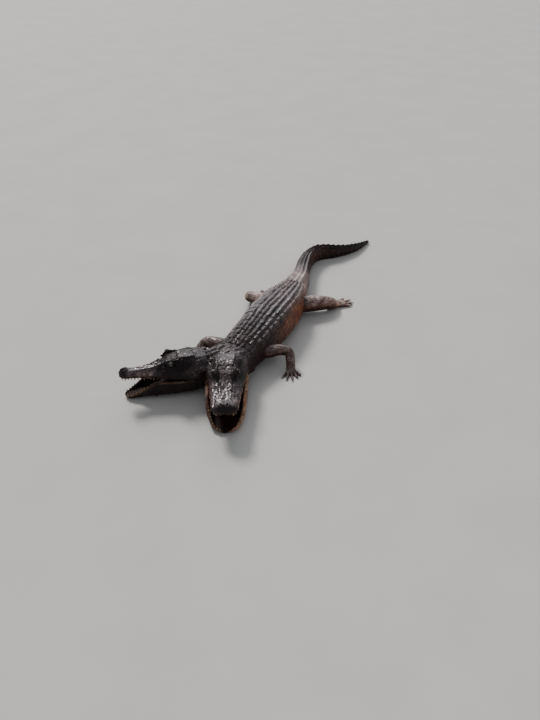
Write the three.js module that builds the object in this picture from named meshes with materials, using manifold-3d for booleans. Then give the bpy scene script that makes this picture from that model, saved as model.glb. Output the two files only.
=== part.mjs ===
// A two-headed American alligator lying on a flat floor, mouths open, as a still life-size model.
// Millimetres. Z = 0 is the floor, -Y is forward, +X is the animal's left, and the origin lies under the trunk.
import * as THREE from "three";
import { mergeVertices } from "three/addons/utils/BufferGeometryUtils.js";
import Module from "manifold-3d";

const wasm = await Module();
wasm.setup();

// Fits between pieces
const GAP = 0.3;
const FLOOR = 0;
const DEG = Math.PI / 180;

// Backbone seen from above, from the shoulders to the tip of the tail
const BACKBONE = [
  [-10, -205],
  [-13, -90],
  [-25, 60],
  [-38, 200],
  [-60, 330],
  [-92, 470],
  [-138, 600],
  [-162, 700],
  [-152, 785],
  [-78, 868],
  [-30, 960],
  [-8, 1090],
];
// Half width, back height and belly height at distances along the backbone, and how square the section is
const BODY_STATIONS = [
  { at: 0, half: 80, top: 116, belly: 12, square: 0.8 },
  { at: 70, half: 83, top: 129, belly: 5, square: 0.78 },
  { at: 160, half: 87, top: 138, belly: 1, square: 0.76 },
  { at: 280, half: 96, top: 147, belly: -7, square: 0.76 },
  { at: 400, half: 92, top: 142, belly: -7, square: 0.76 },
  { at: 490, half: 77, top: 126, belly: 0, square: 0.78 },
  { at: 560, half: 62, top: 112, belly: 5, square: 0.82 },
  { at: 640, half: 50, top: 101, belly: 4, square: 0.84 },
  { at: 700, half: 44, top: 91, belly: 2, square: 0.84 },
  { at: 830, half: 31, top: 83, belly: -3, square: 0.82 },
  { at: 930, half: 23, top: 78, belly: -4, square: 0.8 },
  { at: 1025, half: 18, top: 72, belly: -4, square: 0.8 },
  { at: 1140, half: 12, top: 53, belly: -3, square: 0.8 },
  { at: 1240, half: 8, top: 36, belly: -3, square: 0.85 },
  { at: 1330, half: 4.5, top: 18, belly: -1, square: 0.9 },
  { at: 1366, half: 2, top: 9, belly: 2, square: 1 },
];
const TRUNK_END = 560;
const TAIL_CUTS = [TRUNK_END, 830, 1096, 1366];
const TRUNK_SIDES = 18;
const TAIL_SIDES = 14;
const TAIL_STEPS = 9;

// Heads: the jaw joint's place on the floor plan, its height, the way the head points, and both jaws' tilts
const HEADS = {
  left: { x: 4, y: -276, yaw: 31.5, upper: 4 },
  right: { x: -78, y: -326, yaw: -43, upper: 5 },
};
const JOINT_HEIGHT = 72;
const LOWER_TILT = -11.5;
const HEAD_BACK = -14;

// Upper head from the jaw joint to the snout's tip: half width of the broad left head and the slim right head,
// side height, roof height, and the roof's half width as a share of the half width
const HEAD_STATIONS = [
  { at: HEAD_BACK, left: 71, right: 71, side: 38, top: 64, roof: 0.44 },
  { at: 10, left: 75, right: 74, side: 40, top: 71, roof: 0.43 },
  { at: 45, left: 74, right: 72, side: 37, top: 74, roof: 0.43 },
  { at: 75, left: 70, right: 66, side: 33, top: 72, roof: 0.43 },
  { at: 105, left: 65, right: 58, side: 28, top: 66, roof: 0.42 },
  { at: 130, left: 61, right: 51, side: 23, top: 57, roof: 0.42 },
  { at: 155, left: 58, right: 44, side: 20, top: 43, roof: 0.44 },
  { at: 185, left: 54, right: 36, side: 17, top: 33, roof: 0.5 },
  { at: 215, left: 50, right: 29, side: 15, top: 28, roof: 0.54 },
  { at: 240, left: 47, right: 24, side: 14, top: 26, roof: 0.55 },
  { at: 262, left: 46, right: 23, side: 14, top: 28, roof: 0.54 },
  { at: 278, left: 41, right: 22, side: 14, top: 29, roof: 0.52 },
  { at: 290, left: 29, right: 16, side: 12, top: 25, roof: 0.5 },
  { at: 297, left: 12, right: 8, side: 8, top: 17, roof: 0.5 },
];
// Lower jaw: half width of each head's, depth under the mouth line and depth of the mouth's floor
const JAW_STATIONS = [
  { at: HEAD_BACK, left: 70, right: 70, depth: 52, floor: 3, lip: 0 },
  { at: 20, left: 75, right: 73, depth: 56, floor: 6, lip: 3 },
  { at: 60, left: 76, right: 69, depth: 54, floor: 12, lip: 11 },
  { at: 110, left: 75, right: 60, depth: 46, floor: 14, lip: 22 },
  { at: 160, left: 72, right: 49, depth: 36, floor: 13, lip: 31 },
  { at: 210, left: 66, right: 38, depth: 25, floor: 10, lip: 20 },
  { at: 245, left: 56, right: 29, depth: 19, floor: 7, lip: 7 },
  { at: 268, left: 44, right: 23, depth: 17, floor: 4, lip: 2 },
  { at: 284, left: 27, right: 15, depth: 14, floor: 1.5, lip: 0 },
  { at: 291, left: 11, right: 7, depth: 9, floor: 0.5, lip: 0 },
];

const vec = (x, y, z) => new THREE.Vector3(x, y, z);

// One named size at a place along a list of stations: a cubic through them that never overshoots
function sizeAt(stations, name, at) {
  const last = stations.length - 1;
  let i = 0;
  while (i < last - 1 && at > stations[i + 1].at) i += 1;
  const slope = (k) => (stations[k + 1][name] - stations[k][name]) / (stations[k + 1].at - stations[k].at);
  const tangent = (k) => {
    if (k === 0) return slope(0);
    if (k === last) return slope(last - 1);
    const before = slope(k - 1);
    const after = slope(k);
    return before * after <= 0 ? 0 : (2 * before * after) / (before + after);
  };
  const span = stations[i + 1].at - stations[i].at;
  const t = THREE.MathUtils.clamp((at - stations[i].at) / span, 0, 1);
  const t2 = t * t;
  const t3 = t2 * t;
  return (
    (2 * t3 - 3 * t2 + 1) * stations[i][name] +
    (t3 - 2 * t2 + t) * span * tangent(i) +
    (3 * t2 - 2 * t3) * stations[i + 1][name] +
    (t3 - t2) * span * tangent(i + 1)
  );
}

// An outline moved outward by a distance, each corner along the mean of its two edges' normals
function grownOutline(outline, grow) {
  const count = outline.length;
  return outline.map(([a, b], i) => {
    const [a0, b0] = outline[(i + count - 1) % count];
    const [a1, b1] = outline[(i + 1) % count];
    const before = new THREE.Vector2(b - b0, a0 - a).normalize();
    const after = new THREE.Vector2(b1 - b, a - a1).normalize();
    const corner = before.add(after);
    const scale = (2 * grow) / Math.max(0.8, corner.lengthSq());
    return [a + corner.x * scale, b + corner.y * scale];
  });
}

// Sections grown on every side and at both ends, for cutting a fit into a neighbour
function grownSections(sections, grow) {
  const last = sections.length - 1;
  const step = (i, j) => sections[j].origin.clone().sub(sections[i].origin).setLength(grow);
  return sections.map((section, i) => {
    const origin = section.origin.clone();
    if (i === 0) origin.sub(step(0, 1));
    if (i === last) origin.add(step(last - 1, last));
    return { ...section, origin, outline: grownOutline(section.outline, grow) };
  });
}

// A closed surface through sections, each a flat outline set on its own origin, side and up directions
function loft(sections, floor = FLOOR) {
  const count = sections[0].outline.length;
  const positions = [];
  const index = [];
  for (const { origin, side, up, outline } of sections) {
    for (const [a, b] of outline) {
      positions.push(
        origin.x + side.x * a + up.x * b,
        origin.y + side.y * a + up.y * b,
        Math.max(floor, origin.z + side.z * a + up.z * b),
      );
    }
  }
  for (let i = 0; i < sections.length - 1; i += 1) {
    for (let k = 0; k < count; k += 1) {
      const a = i * count + k;
      const b = i * count + ((k + 1) % count);
      index.push(a, b, b + count, a, b + count, a + count);
    }
  }
  const cap = (ring, reverse) => {
    const outline = sections[ring].outline.map(([a, b]) => new THREE.Vector2(a, b));
    for (const [a, b, c] of THREE.ShapeUtils.triangulateShape(outline, [])) {
      const base = ring * count;
      index.push(...(reverse ? [base + a, base + c, base + b] : [base + a, base + b, base + c]));
    }
  };
  cap(0, true);
  cap(sections.length - 1, false);
  return new THREE.BufferGeometry()
    .setAttribute("position", new THREE.Float32BufferAttribute(positions, 3))
    .setIndex(index);
}

// A three.js geometry as a solid, turned right side out
function solid(geometry) {
  const bare = new THREE.BufferGeometry()
    .setAttribute("position", geometry.getAttribute("position"))
    .setIndex(geometry.index);
  const merged = mergeVertices(bare, 1e-3);
  const position = merged.getAttribute("position");
  const triVerts = new Uint32Array(
    [...Array(merged.index.count / 3).keys()]
      .map((i) => [0, 1, 2].map((k) => merged.index.getX(3 * i + k)))
      .filter(([a, b, c]) => a !== b && b !== c && a !== c)
      .flat(),
  );
  const corner = (i) => vec().fromBufferAttribute(position, triVerts[i]);
  let volume = 0;
  for (let i = 0; i < triVerts.length; i += 3) volume += corner(i).dot(corner(i + 1).cross(corner(i + 2)));
  if (volume < 0) {
    for (let i = 0; i < triVerts.length; i += 3) {
      [triVerts[i + 1], triVerts[i + 2]] = [triVerts[i + 2], triVerts[i + 1]];
    }
  }
  return new wasm.Manifold(
    new wasm.Mesh({ numProp: 3, vertProperties: position.array, triVerts }),
  );
}

// The largest closed body of a solid, as a three.js geometry
function geometryOf(manifold) {
  const bodies = manifold.decompose();
  const largest = bodies.reduce((best, body) => (body.volume() > best.volume() ? body : best));
  const mesh = largest.getMesh();
  return new THREE.BufferGeometry()
    .setAttribute("position", new THREE.BufferAttribute(mesh.vertProperties, 3))
    .setIndex(new THREE.BufferAttribute(mesh.triVerts, 1));
}

const union = (pieces) => wasm.Manifold.union(pieces);
const power = (value, exponent) => Math.sign(value) * Math.abs(value) ** exponent;

// Trunk and tail
const backbone = new THREE.CatmullRomCurve3(
  BACKBONE.map(([x, y]) => vec(x, y, 0)),
  false,
  "centripetal",
);
backbone.arcLengthDivisions = 800;
const BACKBONE_LENGTH = backbone.getLength();

function backboneFrame(at) {
  const u = THREE.MathUtils.clamp(at / BACKBONE_LENGTH, 0, 1);
  const along = backbone.getTangentAt(u);
  return { origin: backbone.getPointAt(u), along, side: vec(along.y, -along.x, 0).normalize(), up: vec(0, 0, 1) };
}

// A rounded section with a flatter belly, from its half width, its top, its belly and how square it is
function roundedOutline({ half, top, belly, square }, sides) {
  const middle = belly + 0.42 * (top - belly);
  const outline = [];
  for (let k = 0; k < sides; k += 1) {
    const angle = ((k + 0.5) / sides) * 2 * Math.PI;
    const reach = Math.sin(angle) > 0 ? top - middle : middle - belly;
    outline.push([half * power(Math.cos(angle), square), middle + reach * power(Math.sin(angle), square)]);
  }
  return outline;
}

function bodySections(from, to, steps, sides) {
  const sections = [];
  for (let i = 0; i <= steps; i += 1) {
    const at = THREE.MathUtils.lerp(from, to, i / steps);
    const size = (name) => sizeAt(BODY_STATIONS, name, at);
    const outline = roundedOutline(
      { half: size("half"), top: size("top"), belly: size("belly"), square: size("square") },
      sides,
    );
    sections.push({ ...backboneFrame(at), outline });
  }
  return sections;
}

// A point on the back, by its share of the half width, with its directions along, across and out of the hide
function backPoint(at, share) {
  const frame = backboneFrame(at);
  const place = (portion) => {
    const size = (name) => sizeAt(BODY_STATIONS, name, at);
    const cosine = Math.abs(portion) ** (1 / size("square"));
    const sine = Math.sqrt(Math.max(0, 1 - cosine * cosine));
    const middle = size("belly") + 0.42 * (size("top") - size("belly"));
    return [portion * size("half"), middle + (size("top") - middle) * sine ** size("square")];
  };
  const [a, b] = place(share);
  const [a1, b1] = place(share + 0.02);
  const position = frame.origin.clone().addScaledVector(frame.side, a).setZ(b);
  const across = frame.side.clone().multiplyScalar(a1 - a).setZ(b1 - b).normalize();
  const out = across.clone().cross(frame.along).normalize();
  if (out.z < 0) out.negate();
  return { position, along: frame.along, across, out };
}

// A keeled scute: sides that rise from a root sunk in the hide to a ridge, highest toward its back edge
function keeledScute({ position, along, across, out }, { length, width, ridge, sink, rake = 0, crest = 0 }) {
  const point = (x, y, z) => position
    .clone()
    .addScaledVector(along, x)
    .addScaledVector(across, y)
    .addScaledVector(out, z);
  const halfLong = length / 2;
  const halfWide = width / 2;
  const points = [
    point(-halfLong, -halfWide, -sink),
    point(halfLong, -halfWide, -sink),
    point(halfLong, halfWide, -sink),
    point(-halfLong, halfWide, -sink),
    point(-halfLong * (0.85 - crest), 0, ridge * 0.5),
    point(halfLong * 0.9 + rake, 0, ridge),
  ];
  const faces = [
    [0, 2, 1],
    [0, 3, 2],
    [0, 1, 5],
    [0, 5, 4],
    [1, 2, 5],
    [2, 3, 4],
    [2, 4, 5],
    [3, 0, 4],
  ];
  return solid(
    new THREE.BufferGeometry()
      .setAttribute("position", new THREE.Float32BufferAttribute(points.flatMap((v) => v.toArray()), 3))
      .setIndex(faces.flat()),
  );
}

// Scutes of the back: rows along the trunk, each scute's place across it as a share of the half width
const TRUNK_ROWS = 16;
const TRUNK_SCUTES = [
  { share: 0.14, wide: 26, ridge: 6 },
  { share: 0.41, wide: 26, ridge: 6.5 },
  { share: 0.67, wide: 22, ridge: 5.5 },
];
const SCUTE_FILL = 0.9;
const SCUTE_SINK = 3;

function trunkScutes() {
  const pitch = (TRUNK_END - 24) / TRUNK_ROWS;
  const scutes = [];
  for (let row = 0; row < TRUNK_ROWS; row += 1) {
    const at = 16 + pitch * (row + 0.5);
    const narrow = sizeAt(BODY_STATIONS, "half", at) / 99;
    for (const { share, wide, ridge } of TRUNK_SCUTES) {
      for (const hand of [1, -1]) {
        scutes.push(
          keeledScute(backPoint(at, hand * share), {
            length: pitch * SCUTE_FILL,
            width: wide * narrow,
            ridge: ridge * (0.75 + 0.25 * narrow),
            sink: SCUTE_SINK,
          }),
        );
      }
    }
  }
  return scutes;
}

// Tail whorls: inner keels that fade, and two crests that rise, draw together and join in one
const CREST_JOINS = 1010;
const CREST = { thick: 7, pitch: 26, sink: 7 };
const CREST_HEIGHTS = [
  { at: TRUNK_END, high: 7, apart: 0.5 },
  { at: 700, high: 8, apart: 0.56 },
  { at: 830, high: 8, apart: 0.6 },
  { at: 930, high: 8, apart: 0.5 },
  { at: CREST_JOINS, high: 8, apart: 0.2 },
  { at: 1200, high: 7, apart: 0 },
  { at: 1366, high: 3, apart: 0 },
];

function tailScutes(from, to) {
  const rows = Math.round((to - from) / CREST.pitch);
  const pitch = (to - from) / rows;
  const scutes = [];
  for (let row = 0; row < rows; row += 1) {
    const at = from + pitch * (row + 0.5);
    if (at > BACKBONE_LENGTH - 22) break;
    const high = sizeAt(CREST_HEIGHTS, "high", at);
    const thick = Math.min(CREST.thick, 0.7 * sizeAt(BODY_STATIONS, "half", at));
    const blade = { length: pitch * 0.98, ridge: high, sink: CREST.sink, rake: pitch * 0.08, crest: 0.3 };
    if (at < CREST_JOINS) {
      const share = sizeAt(CREST_HEIGHTS, "apart", at);
      for (const hand of [1, -1]) {
        scutes.push(keeledScute(backPoint(at, hand * share), { ...blade, width: at < 700 ? 17 : thick + 3 }));
        if (at < 800) {
          scutes.push(
            keeledScute(backPoint(at, hand * 0.19), {
              length: pitch * SCUTE_FILL,
              width: 0.26 * sizeAt(BODY_STATIONS, "half", at),
              ridge: 4.5,
              sink: SCUTE_SINK,
            }),
          );
        }
      }
    } else {
      scutes.push(keeledScute(backPoint(at, 0), { ...blade, width: thick }));
    }
  }
  return scutes;
}

// Heads
function headFrame(side) {
  const { x, y, yaw } = HEADS[side];
  const forward = vec(Math.sin(yaw * DEG), -Math.cos(yaw * DEG), 0);
  const left = vec(-forward.y, forward.x, 0);
  return new THREE.Matrix4()
    .makeBasis(forward, left, vec(0, 0, 1))
    .setPosition(x, y, JOINT_HEIGHT);
}

const tilt = (degrees) => new THREE.Matrix4().makeRotationY(-degrees * DEG);

// Half an outline given from the bottom centre to the top centre, mirrored to a whole one
function mirrored(half) {
  const inner = half.slice(1, -1);
  return [...half, ...inner.reverse().map(([a, b]) => [-a, b])];
}

function headOutline(at, which) {
  const size = (name) => sizeAt(HEAD_STATIONS, name, at);
  const half = size(which);
  const side = size("side");
  const roof = size("roof") * half;
  const top = size("top");
  return mirrored([
    [0, 3],
    [0.55 * half, 2],
    [0.93 * half, 0],
    [half, 4],
    [half, 0.6 * side],
    [0.96 * half, side],
    [0.5 * (half + roof), 0.42 * side + 0.58 * top],
    [roof, top - 2],
    [0.5 * roof, top],
    [0, top],
  ]);
}

function jawOutline(at, which) {
  const size = (name) => sizeAt(JAW_STATIONS, name, at);
  const half = size(which);
  const depth = size("depth");
  const floor = size("floor");
  const lip = size("lip");
  return mirrored([
    [0, -depth],
    [0.5 * half, -depth],
    [0.86 * half, -0.72 * depth],
    [half, -0.35 * depth],
    [half, lip - 2],
    [0.95 * half, lip],
    [0.86 * half, lip],
    [0.74 * half, -floor],
    [0.4 * half, -0.6 * floor],
    [0, -0.5 * floor],
  ]);
}

function alongHead(stations, outline, frame, which) {
  return stations.flatMap((station, i) => {
    const next = stations[i + 1];
    const places = next && next.at - station.at > 40 ? [station.at, (station.at + next.at) / 2] : [station.at];
    return places.map((at) => ({
      origin: vec(at, 0, 0).applyMatrix4(frame),
      side: vec(0, 1, 0).transformDirection(frame),
      up: vec(0, 0, 1).transformDirection(frame),
      outline: outline(at, which),
    }));
  });
}

// A neck from the front of the trunk into the back of a head
const NECK_START = { half: 77, top: 117, belly: 10, square: 0.8 };
const NECK_ASIDE = 9;
const NECK_END = { half: 70, top: 130, belly: 22, square: 0.78 };
const NECK_STEPS = 6;
const NECK_SIDES = 20;
const NECK_REACH = 10;

function neckSections(side) {
  const frame = headFrame(side);
  const start = backboneFrame(0);
  const end = vec(HEAD_BACK + NECK_REACH, 0, -JOINT_HEIGHT).applyMatrix4(frame);
  const into = vec(1, 0, 0).transformDirection(frame);
  const aside = side === "left" ? -NECK_ASIDE : NECK_ASIDE;
  const origin = start.origin.clone().addScaledVector(start.along, -GAP).addScaledVector(start.side, -aside);
  const reach = origin.distanceTo(end) / 3;
  const curve = new THREE.CubicBezierCurve3(
    origin,
    origin.clone().addScaledVector(start.along, -reach),
    end.clone().addScaledVector(into, -reach),
    end,
  );
  const sections = [];
  for (let i = 0; i <= NECK_STEPS; i += 1) {
    const t = i / NECK_STEPS;
    const along = curve.getTangent(t);
    const size = (name) => THREE.MathUtils.lerp(NECK_START[name], NECK_END[name], t);
    sections.push({
      origin: curve.getPoint(t),
      side: vec(-along.y, along.x, 0).normalize(),
      up: vec(0, 0, 1),
      outline: roundedOutline(
        { half: size("half"), top: size("top"), belly: size("belly"), square: size("square") },
        NECK_SIDES,
      ),
    });
  }
  return sections;
}

// Limbs, each a path from inside the trunk to the wrist or ankle with its half width and half height
const LIMBS = {
  left_fore: {
    stations: [
      { p: [20, -118, 58], wide: 30, high: 27 },
      { p: [72, -96, 58], wide: 26, high: 23 },
      { p: [112, -66, 61], wide: 21, high: 20 },
      { p: [142, -57, 57], wide: 18, high: 18 },
      { p: [158, -72, 38], wide: 18, high: 17 },
      { p: [168, -88, 17], wide: 17, high: 12 },
    ],
    yaw: 38,
    foot: "hand",
  },
  right_fore: {
    stations: [
      { p: [-50, -142, 56], wide: 34, high: 30 },
      { p: [-98, -152, 57], wide: 32, high: 30 },
      { p: [-140, -160, 63], wide: 26, high: 25 },
      { p: [-167, -168, 61], wide: 19, high: 19 },
      { p: [-180, -186, 40], wide: 18, high: 17 },
      { p: [-188, -204, 17], wide: 17, high: 12 },
    ],
    yaw: -30,
    foot: "hand",
  },
  left_hind: {
    stations: [
      { p: [-20, 262, 54], wide: 42, high: 34 },
      { p: [28, 305, 49], wide: 38, high: 33 },
      { p: [72, 346, 44], wide: 32, high: 32 },
      { p: [99, 375, 38], wide: 26, high: 28 },
      { p: [107, 398, 27], wide: 27, high: 25 },
      { p: [113, 420, 15], wide: 23, high: 15 },
    ],
    yaw: 146,
    foot: "foot",
  },
  right_hind: {
    stations: [
      { p: [-70, 262, 58], wide: 44, high: 38 },
      { p: [-130, 252, 50], wide: 36, high: 31 },
      { p: [-185, 245, 44], wide: 27, high: 25 },
      { p: [-222, 250, 40], wide: 21, high: 21 },
      { p: [-228, 277, 27], wide: 18, high: 18 },
      { p: [-218, 303, 14], wide: 17, high: 12 },
    ],
    yaw: 163,
    foot: "foot",
  },
};
const ELBOW = 3;
const LIMB_SIDES = 10;
// Hand and foot: palm length, half width and height at the knuckles, and its digits' angles and lengths
const FEET = {
  hand: {
    palm: 30,
    half: 19,
    high: 15,
    digits: [
      { angle: 40, length: 30, offset: 14 },
      { angle: 20, length: 41, offset: 8 },
      { angle: 3, length: 46, offset: 1 },
      { angle: -14, length: 40, offset: -7 },
      { angle: -32, length: 29, offset: -14 },
    ],
    clawed: 3,
    thick: 5,
  },
  foot: {
    palm: 43,
    half: 24,
    high: 19,
    digits: [
      { angle: 24, length: 36, offset: 14 },
      { angle: 7, length: 49, offset: 6 },
      { angle: -9, length: 51, offset: -4 },
      { angle: -25, length: 40, offset: -14 },
    ],
    clawed: 3,
    thick: 6.5,
  },
};
const CLAW_LENGTH = 13;

function limbSections(name, from, to, steps) {
  const { stations } = LIMBS[name];
  const curve = new THREE.CatmullRomCurve3(
    stations.map(({ p }) => vec(...p)),
    false,
    "centripetal",
  );
  const sized = stations.map(({ wide, high }, at) => ({ at, wide, high }));
  const sections = [];
  for (let i = 0; i <= steps; i += 1) {
    const at = THREE.MathUtils.lerp(from, to, i / steps);
    const along = curve.getTangent(at / (stations.length - 1));
    const side = vec(along.y, -along.x, 0).normalize();
    const up = side.clone().cross(along);
    const outline = roundedOutline(
      { half: sizeAt(sized, "wide", at), top: sizeAt(sized, "high", at), belly: -sizeAt(sized, "high", at), square: 0.9 },
      LIMB_SIDES,
    );
    sections.push({ origin: curve.getPoint(at / (stations.length - 1)), side, up, outline });
  }
  return sections;
}

// A palm and its digits, on the floor, from the end of a limb
function footPieces(name) {
  const { stations, yaw, foot } = LIMBS[name];
  const { palm, half, high, digits, clawed, thick } = FEET[foot];
  const mirror = name.startsWith("left") ? 1 : -1;
  const end = limbSections(name, ELBOW + 1, stations.length - 1, 2).pop();
  const heading = (angle) => vec(Math.sin(angle * DEG), -Math.cos(angle * DEG), 0);
  const across = (direction) => vec(-direction.y, direction.x, 0);
  const forward = heading(yaw);
  const wrist = end.origin.clone().addScaledVector(end.side.clone().cross(end.up), -GAP);
  const palmSections = [{ ...end, origin: wrist }];
  for (const [share, wide, tall] of [
    [0.35, 0.92, 1.35],
    [0.75, 1, 1.05],
    [1, 0.96, 0.85],
  ]) {
    const origin = vec(stations.at(-1).p[0], stations.at(-1).p[1], 0).addScaledVector(forward, palm * share);
    const side = across(forward).negate();
    palmSections.push({
      origin,
      side,
      up: vec(0, 0, 1),
      outline: roundedOutline({ half: half * wide, top: high * tall, belly: -3, square: 0.85 }, LIMB_SIDES),
    });
  }
  const pieces = [solid(loft(palmSections))];
  digits.forEach(({ angle, length, offset }, i) => {
    const direction = heading(yaw - mirror * angle);
    const side = across(direction).negate();
    const root = vec(stations.at(-1).p[0], stations.at(-1).p[1], 0)
      .addScaledVector(forward, palm * 0.72)
      .addScaledVector(across(forward), -mirror * offset);
    const digit = [];
    for (const [share, wide, tall] of [
      [0, 1, 1.15],
      [0.5, 0.85, 1],
      [0.88, 0.8, 0.85],
      [1, 0.45, 0.5],
    ]) {
      digit.push({
        origin: root.clone().addScaledVector(direction, share * length),
        side,
        up: vec(0, 0, 1),
        outline: roundedOutline({ half: thick * wide, top: 2 * thick * tall, belly: -1, square: 0.9 }, 6),
      });
    }
    pieces.push(solid(loft(digit)));
    if (i < clawed) {
      const claw = [];
      for (const [share, radius, height] of [
        [-0.35, 3, 5],
        [0.5, 2.2, 4.8],
        [1, 0.6, 2],
      ]) {
        claw.push({
          origin: root.clone().addScaledVector(direction, length + share * CLAW_LENGTH).setZ(height),
          side,
          up: vec(0, 0, 1),
          outline: roundedOutline({ half: radius * 0.8, top: radius, belly: -radius, square: 1 }, 5),
        });
      }
      pieces.push(solid(loft(claw)));
    }
  });
  return pieces;
}


const model = new THREE.Group();

function addPart(name, manifold, material) {
  const mesh = new THREE.Mesh(geometryOf(manifold), material);
  mesh.name = name;
  model.add(mesh);
}

const hide = new THREE.MeshStandardMaterial({ color: 0x2c211b, roughness: 0.45, metalness: 0 });
const eyeball = new THREE.MeshStandardMaterial({ color: 0x6b5a2a, roughness: 0.15, metalness: 0 });
const shape = (sections) => solid(loft(sections));
const cutter = (sections, grow = GAP) => solid(loft(grownSections(sections, grow), -Infinity));

// Eyes, set into the sides of the skull
const EYE_RADIUS = 11;
const EYE_PLACE = { at: 116, out: 33, height: 53 };
const EYE_SIDES = 10;
// The eyeball sits toward the outside of its lids
const EYE_SHIFT = { along: 0.15, out: 1, up: 0.35, by: 7 };
const LID = { long: 20, wide: 14, high: 13 };

function eyeCentre(frame, hand) {
  return vec(EYE_PLACE.at, hand * EYE_PLACE.out, EYE_PLACE.height).applyMatrix4(frame);
}

function ball(radius, centre, squash = [1, 1, 1], frame = new THREE.Matrix4(), sides = EYE_SIDES) {
  const geometry = new THREE.SphereGeometry(radius, sides, Math.round(sides * 0.7))
    .scale(...squash)
    .applyMatrix4(new THREE.Matrix4().extractRotation(frame))
    .translate(centre.x, centre.y, centre.z);
  return solid(geometry);
}

// Teeth, in pairs along each jaw, their roots inside the lip
const TEETH = {
  upper: { from: 172, to: 284, count: 8, long: 9, share: 0.86, root: 4, down: -1 },
  lower: { from: 208, to: 278, count: 6, long: 8, share: 0.9, root: -4, down: 1 },
};
const TOOTH_WIDTH = 6;

function jawTeeth(frame, stations, which, { from, to, count, long, share, root, down }) {
  const teeth = [];
  for (let i = 0; i < count; i += 1) {
    const at = THREE.MathUtils.lerp(from, to, i / (count - 1));
    const grow = 0.8 + 0.35 * Math.abs(Math.sin(i * 2.1));
    const lip = "lip" in stations[0] ? sizeAt(stations, "lip", at) : 0;
    for (const hand of [1, -1]) {
      const out = hand * sizeAt(stations, which, at) * share;
      const geometry = new THREE.ConeGeometry((TOOTH_WIDTH / 2) * grow, long * grow + Math.abs(root), 4)
        .rotateX(down * 90 * DEG)
        .translate(at, out, lip + root + (down * (long * grow + Math.abs(root))) / 2)
        .applyMatrix4(frame);
      teeth.push(solid(geometry));
    }
  }
  return teeth;
}

// The skull's flat table behind the eyes, with the ear flaps under its edges
const TABLE = { from: 30, to: 98, rise: 4.5 };
const EAR = { at: 68, length: 26, width: 11 };
const NOSE = { at: 276, long: 15, share: 0.5, rise: 8 };
const NOSTRIL = { at: 281, share: 0.22, long: 5.5, wide: 3 };
const TONGUE = { at: 122, long: 84, share: 0.42, height: -5, thick: 9 };
const NUCHAL = { length: 36, width: 31, ridge: 8, sink: 7 };

function headDirections(frame, place, slope = 0) {
  const turned = frame.clone().multiply(tilt(0));
  const across = vec(0, Math.cos(slope), -Math.sin(slope)).transformDirection(turned);
  return {
    position: place.applyMatrix4(frame),
    along: vec(-1, 0, 0).transformDirection(turned),
    across,
    out: vec(0, Math.sin(slope), Math.cos(slope)).transformDirection(turned),
  };
}

function skullPieces(frame, which) {
  const size = (name, at) => sizeAt(HEAD_STATIONS, name, at);
  const table = [TABLE.from, TABLE.from + 5, TABLE.to - 8, TABLE.to].map((at, i) => {
    const wide = size("roof", at) * size(which, at) * (i === 0 || i === 3 ? 0.86 : 1.02);
    const top = size("top", at) + (i === 0 || i === 3 ? 0.4 : 1) * TABLE.rise;
    return {
      origin: vec(at, 0, 0).applyMatrix4(frame),
      side: vec(0, 1, 0).transformDirection(frame),
      up: vec(0, 0, 1).transformDirection(frame),
      outline: [
        [-wide * 0.9, top - 18],
        [wide * 0.9, top - 18],
        [wide, top],
        [0, top - 1.5],
        [-wide, top],
      ],
    };
  });
  const pieces = [shape(table)];
  for (const hand of [1, -1]) {
    const roof = size("roof", EAR.at) * size(which, EAR.at);
    pieces.push(
      keeledScute(
        headDirections(frame, vec(EAR.at, hand * (roof + 7), size("top", EAR.at) - 9), hand * 55 * DEG),
        { length: EAR.length, width: EAR.width, ridge: 4, sink: 5 },
      ),
    );
  }
  const nose = vec(NOSE.at, 0, size("top", NOSE.at) - 4).applyMatrix4(frame);
  pieces.push(ball(1, nose, [NOSE.long, NOSE.share * size(which, NOSE.at), NOSE.rise + 2], frame, 9));
  return pieces;
}

function nostrils(frame, which) {
  const width = sizeAt(HEAD_STATIONS, which, NOSE.at);
  return [1, -1].map((hand) =>
    ball(
      1,
      vec(NOSTRIL.at, hand * NOSTRIL.share * width, sizeAt(HEAD_STATIONS, "top", NOSE.at) + 5).applyMatrix4(frame),
      [NOSTRIL.long, NOSTRIL.wide, 5],
      frame,
      8,
    ),
  );
}

// Raised scutes in two pairs on the nape
function nuchalScutes(sections, top) {
  return [0.36, 0.66].flatMap((share) => {
    const section = sections[Math.round(share * (sections.length - 1))];
    const along = section.side.clone().cross(vec(0, 0, 1)).negate();
    const height = THREE.MathUtils.lerp(NECK_START.top, top, share);
    return [1, -1].map((hand) =>
      keeledScute(
        {
          position: section.origin.clone().addScaledVector(section.side, hand * 18).setZ(height - 2),
          along: section.side.clone().cross(vec(0, 0, 1)).multiplyScalar(along.y > 0 ? -1 : 1),
          across: section.side,
          out: vec(0, 0, 1),
        },
        NUCHAL,
      ),
    );
  });
}

const trunkSections = bodySections(0, TRUNK_END - GAP, 15, TRUNK_SIDES);
const trunkCutter = cutter(trunkSections);
addPart("trunk", union([shape(trunkSections), ...trunkScutes()]), hide);
["tail_base", "tail_middle", "tail_tip"].forEach((name, i) => {
  const [from, to] = [TAIL_CUTS[i], TAIL_CUTS[i + 1] - (i < 2 ? GAP : 0)];
  addPart(name, union([shape(bodySections(from, to, TAIL_STEPS, TAIL_SIDES)), ...tailScutes(from, to)]), hide);
});

// The necks part along an upright plane from the front of the trunk to the back corner of the left head
const FORK_LINE = [
  [-10, -205],
  [-67, -303],
];

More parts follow.
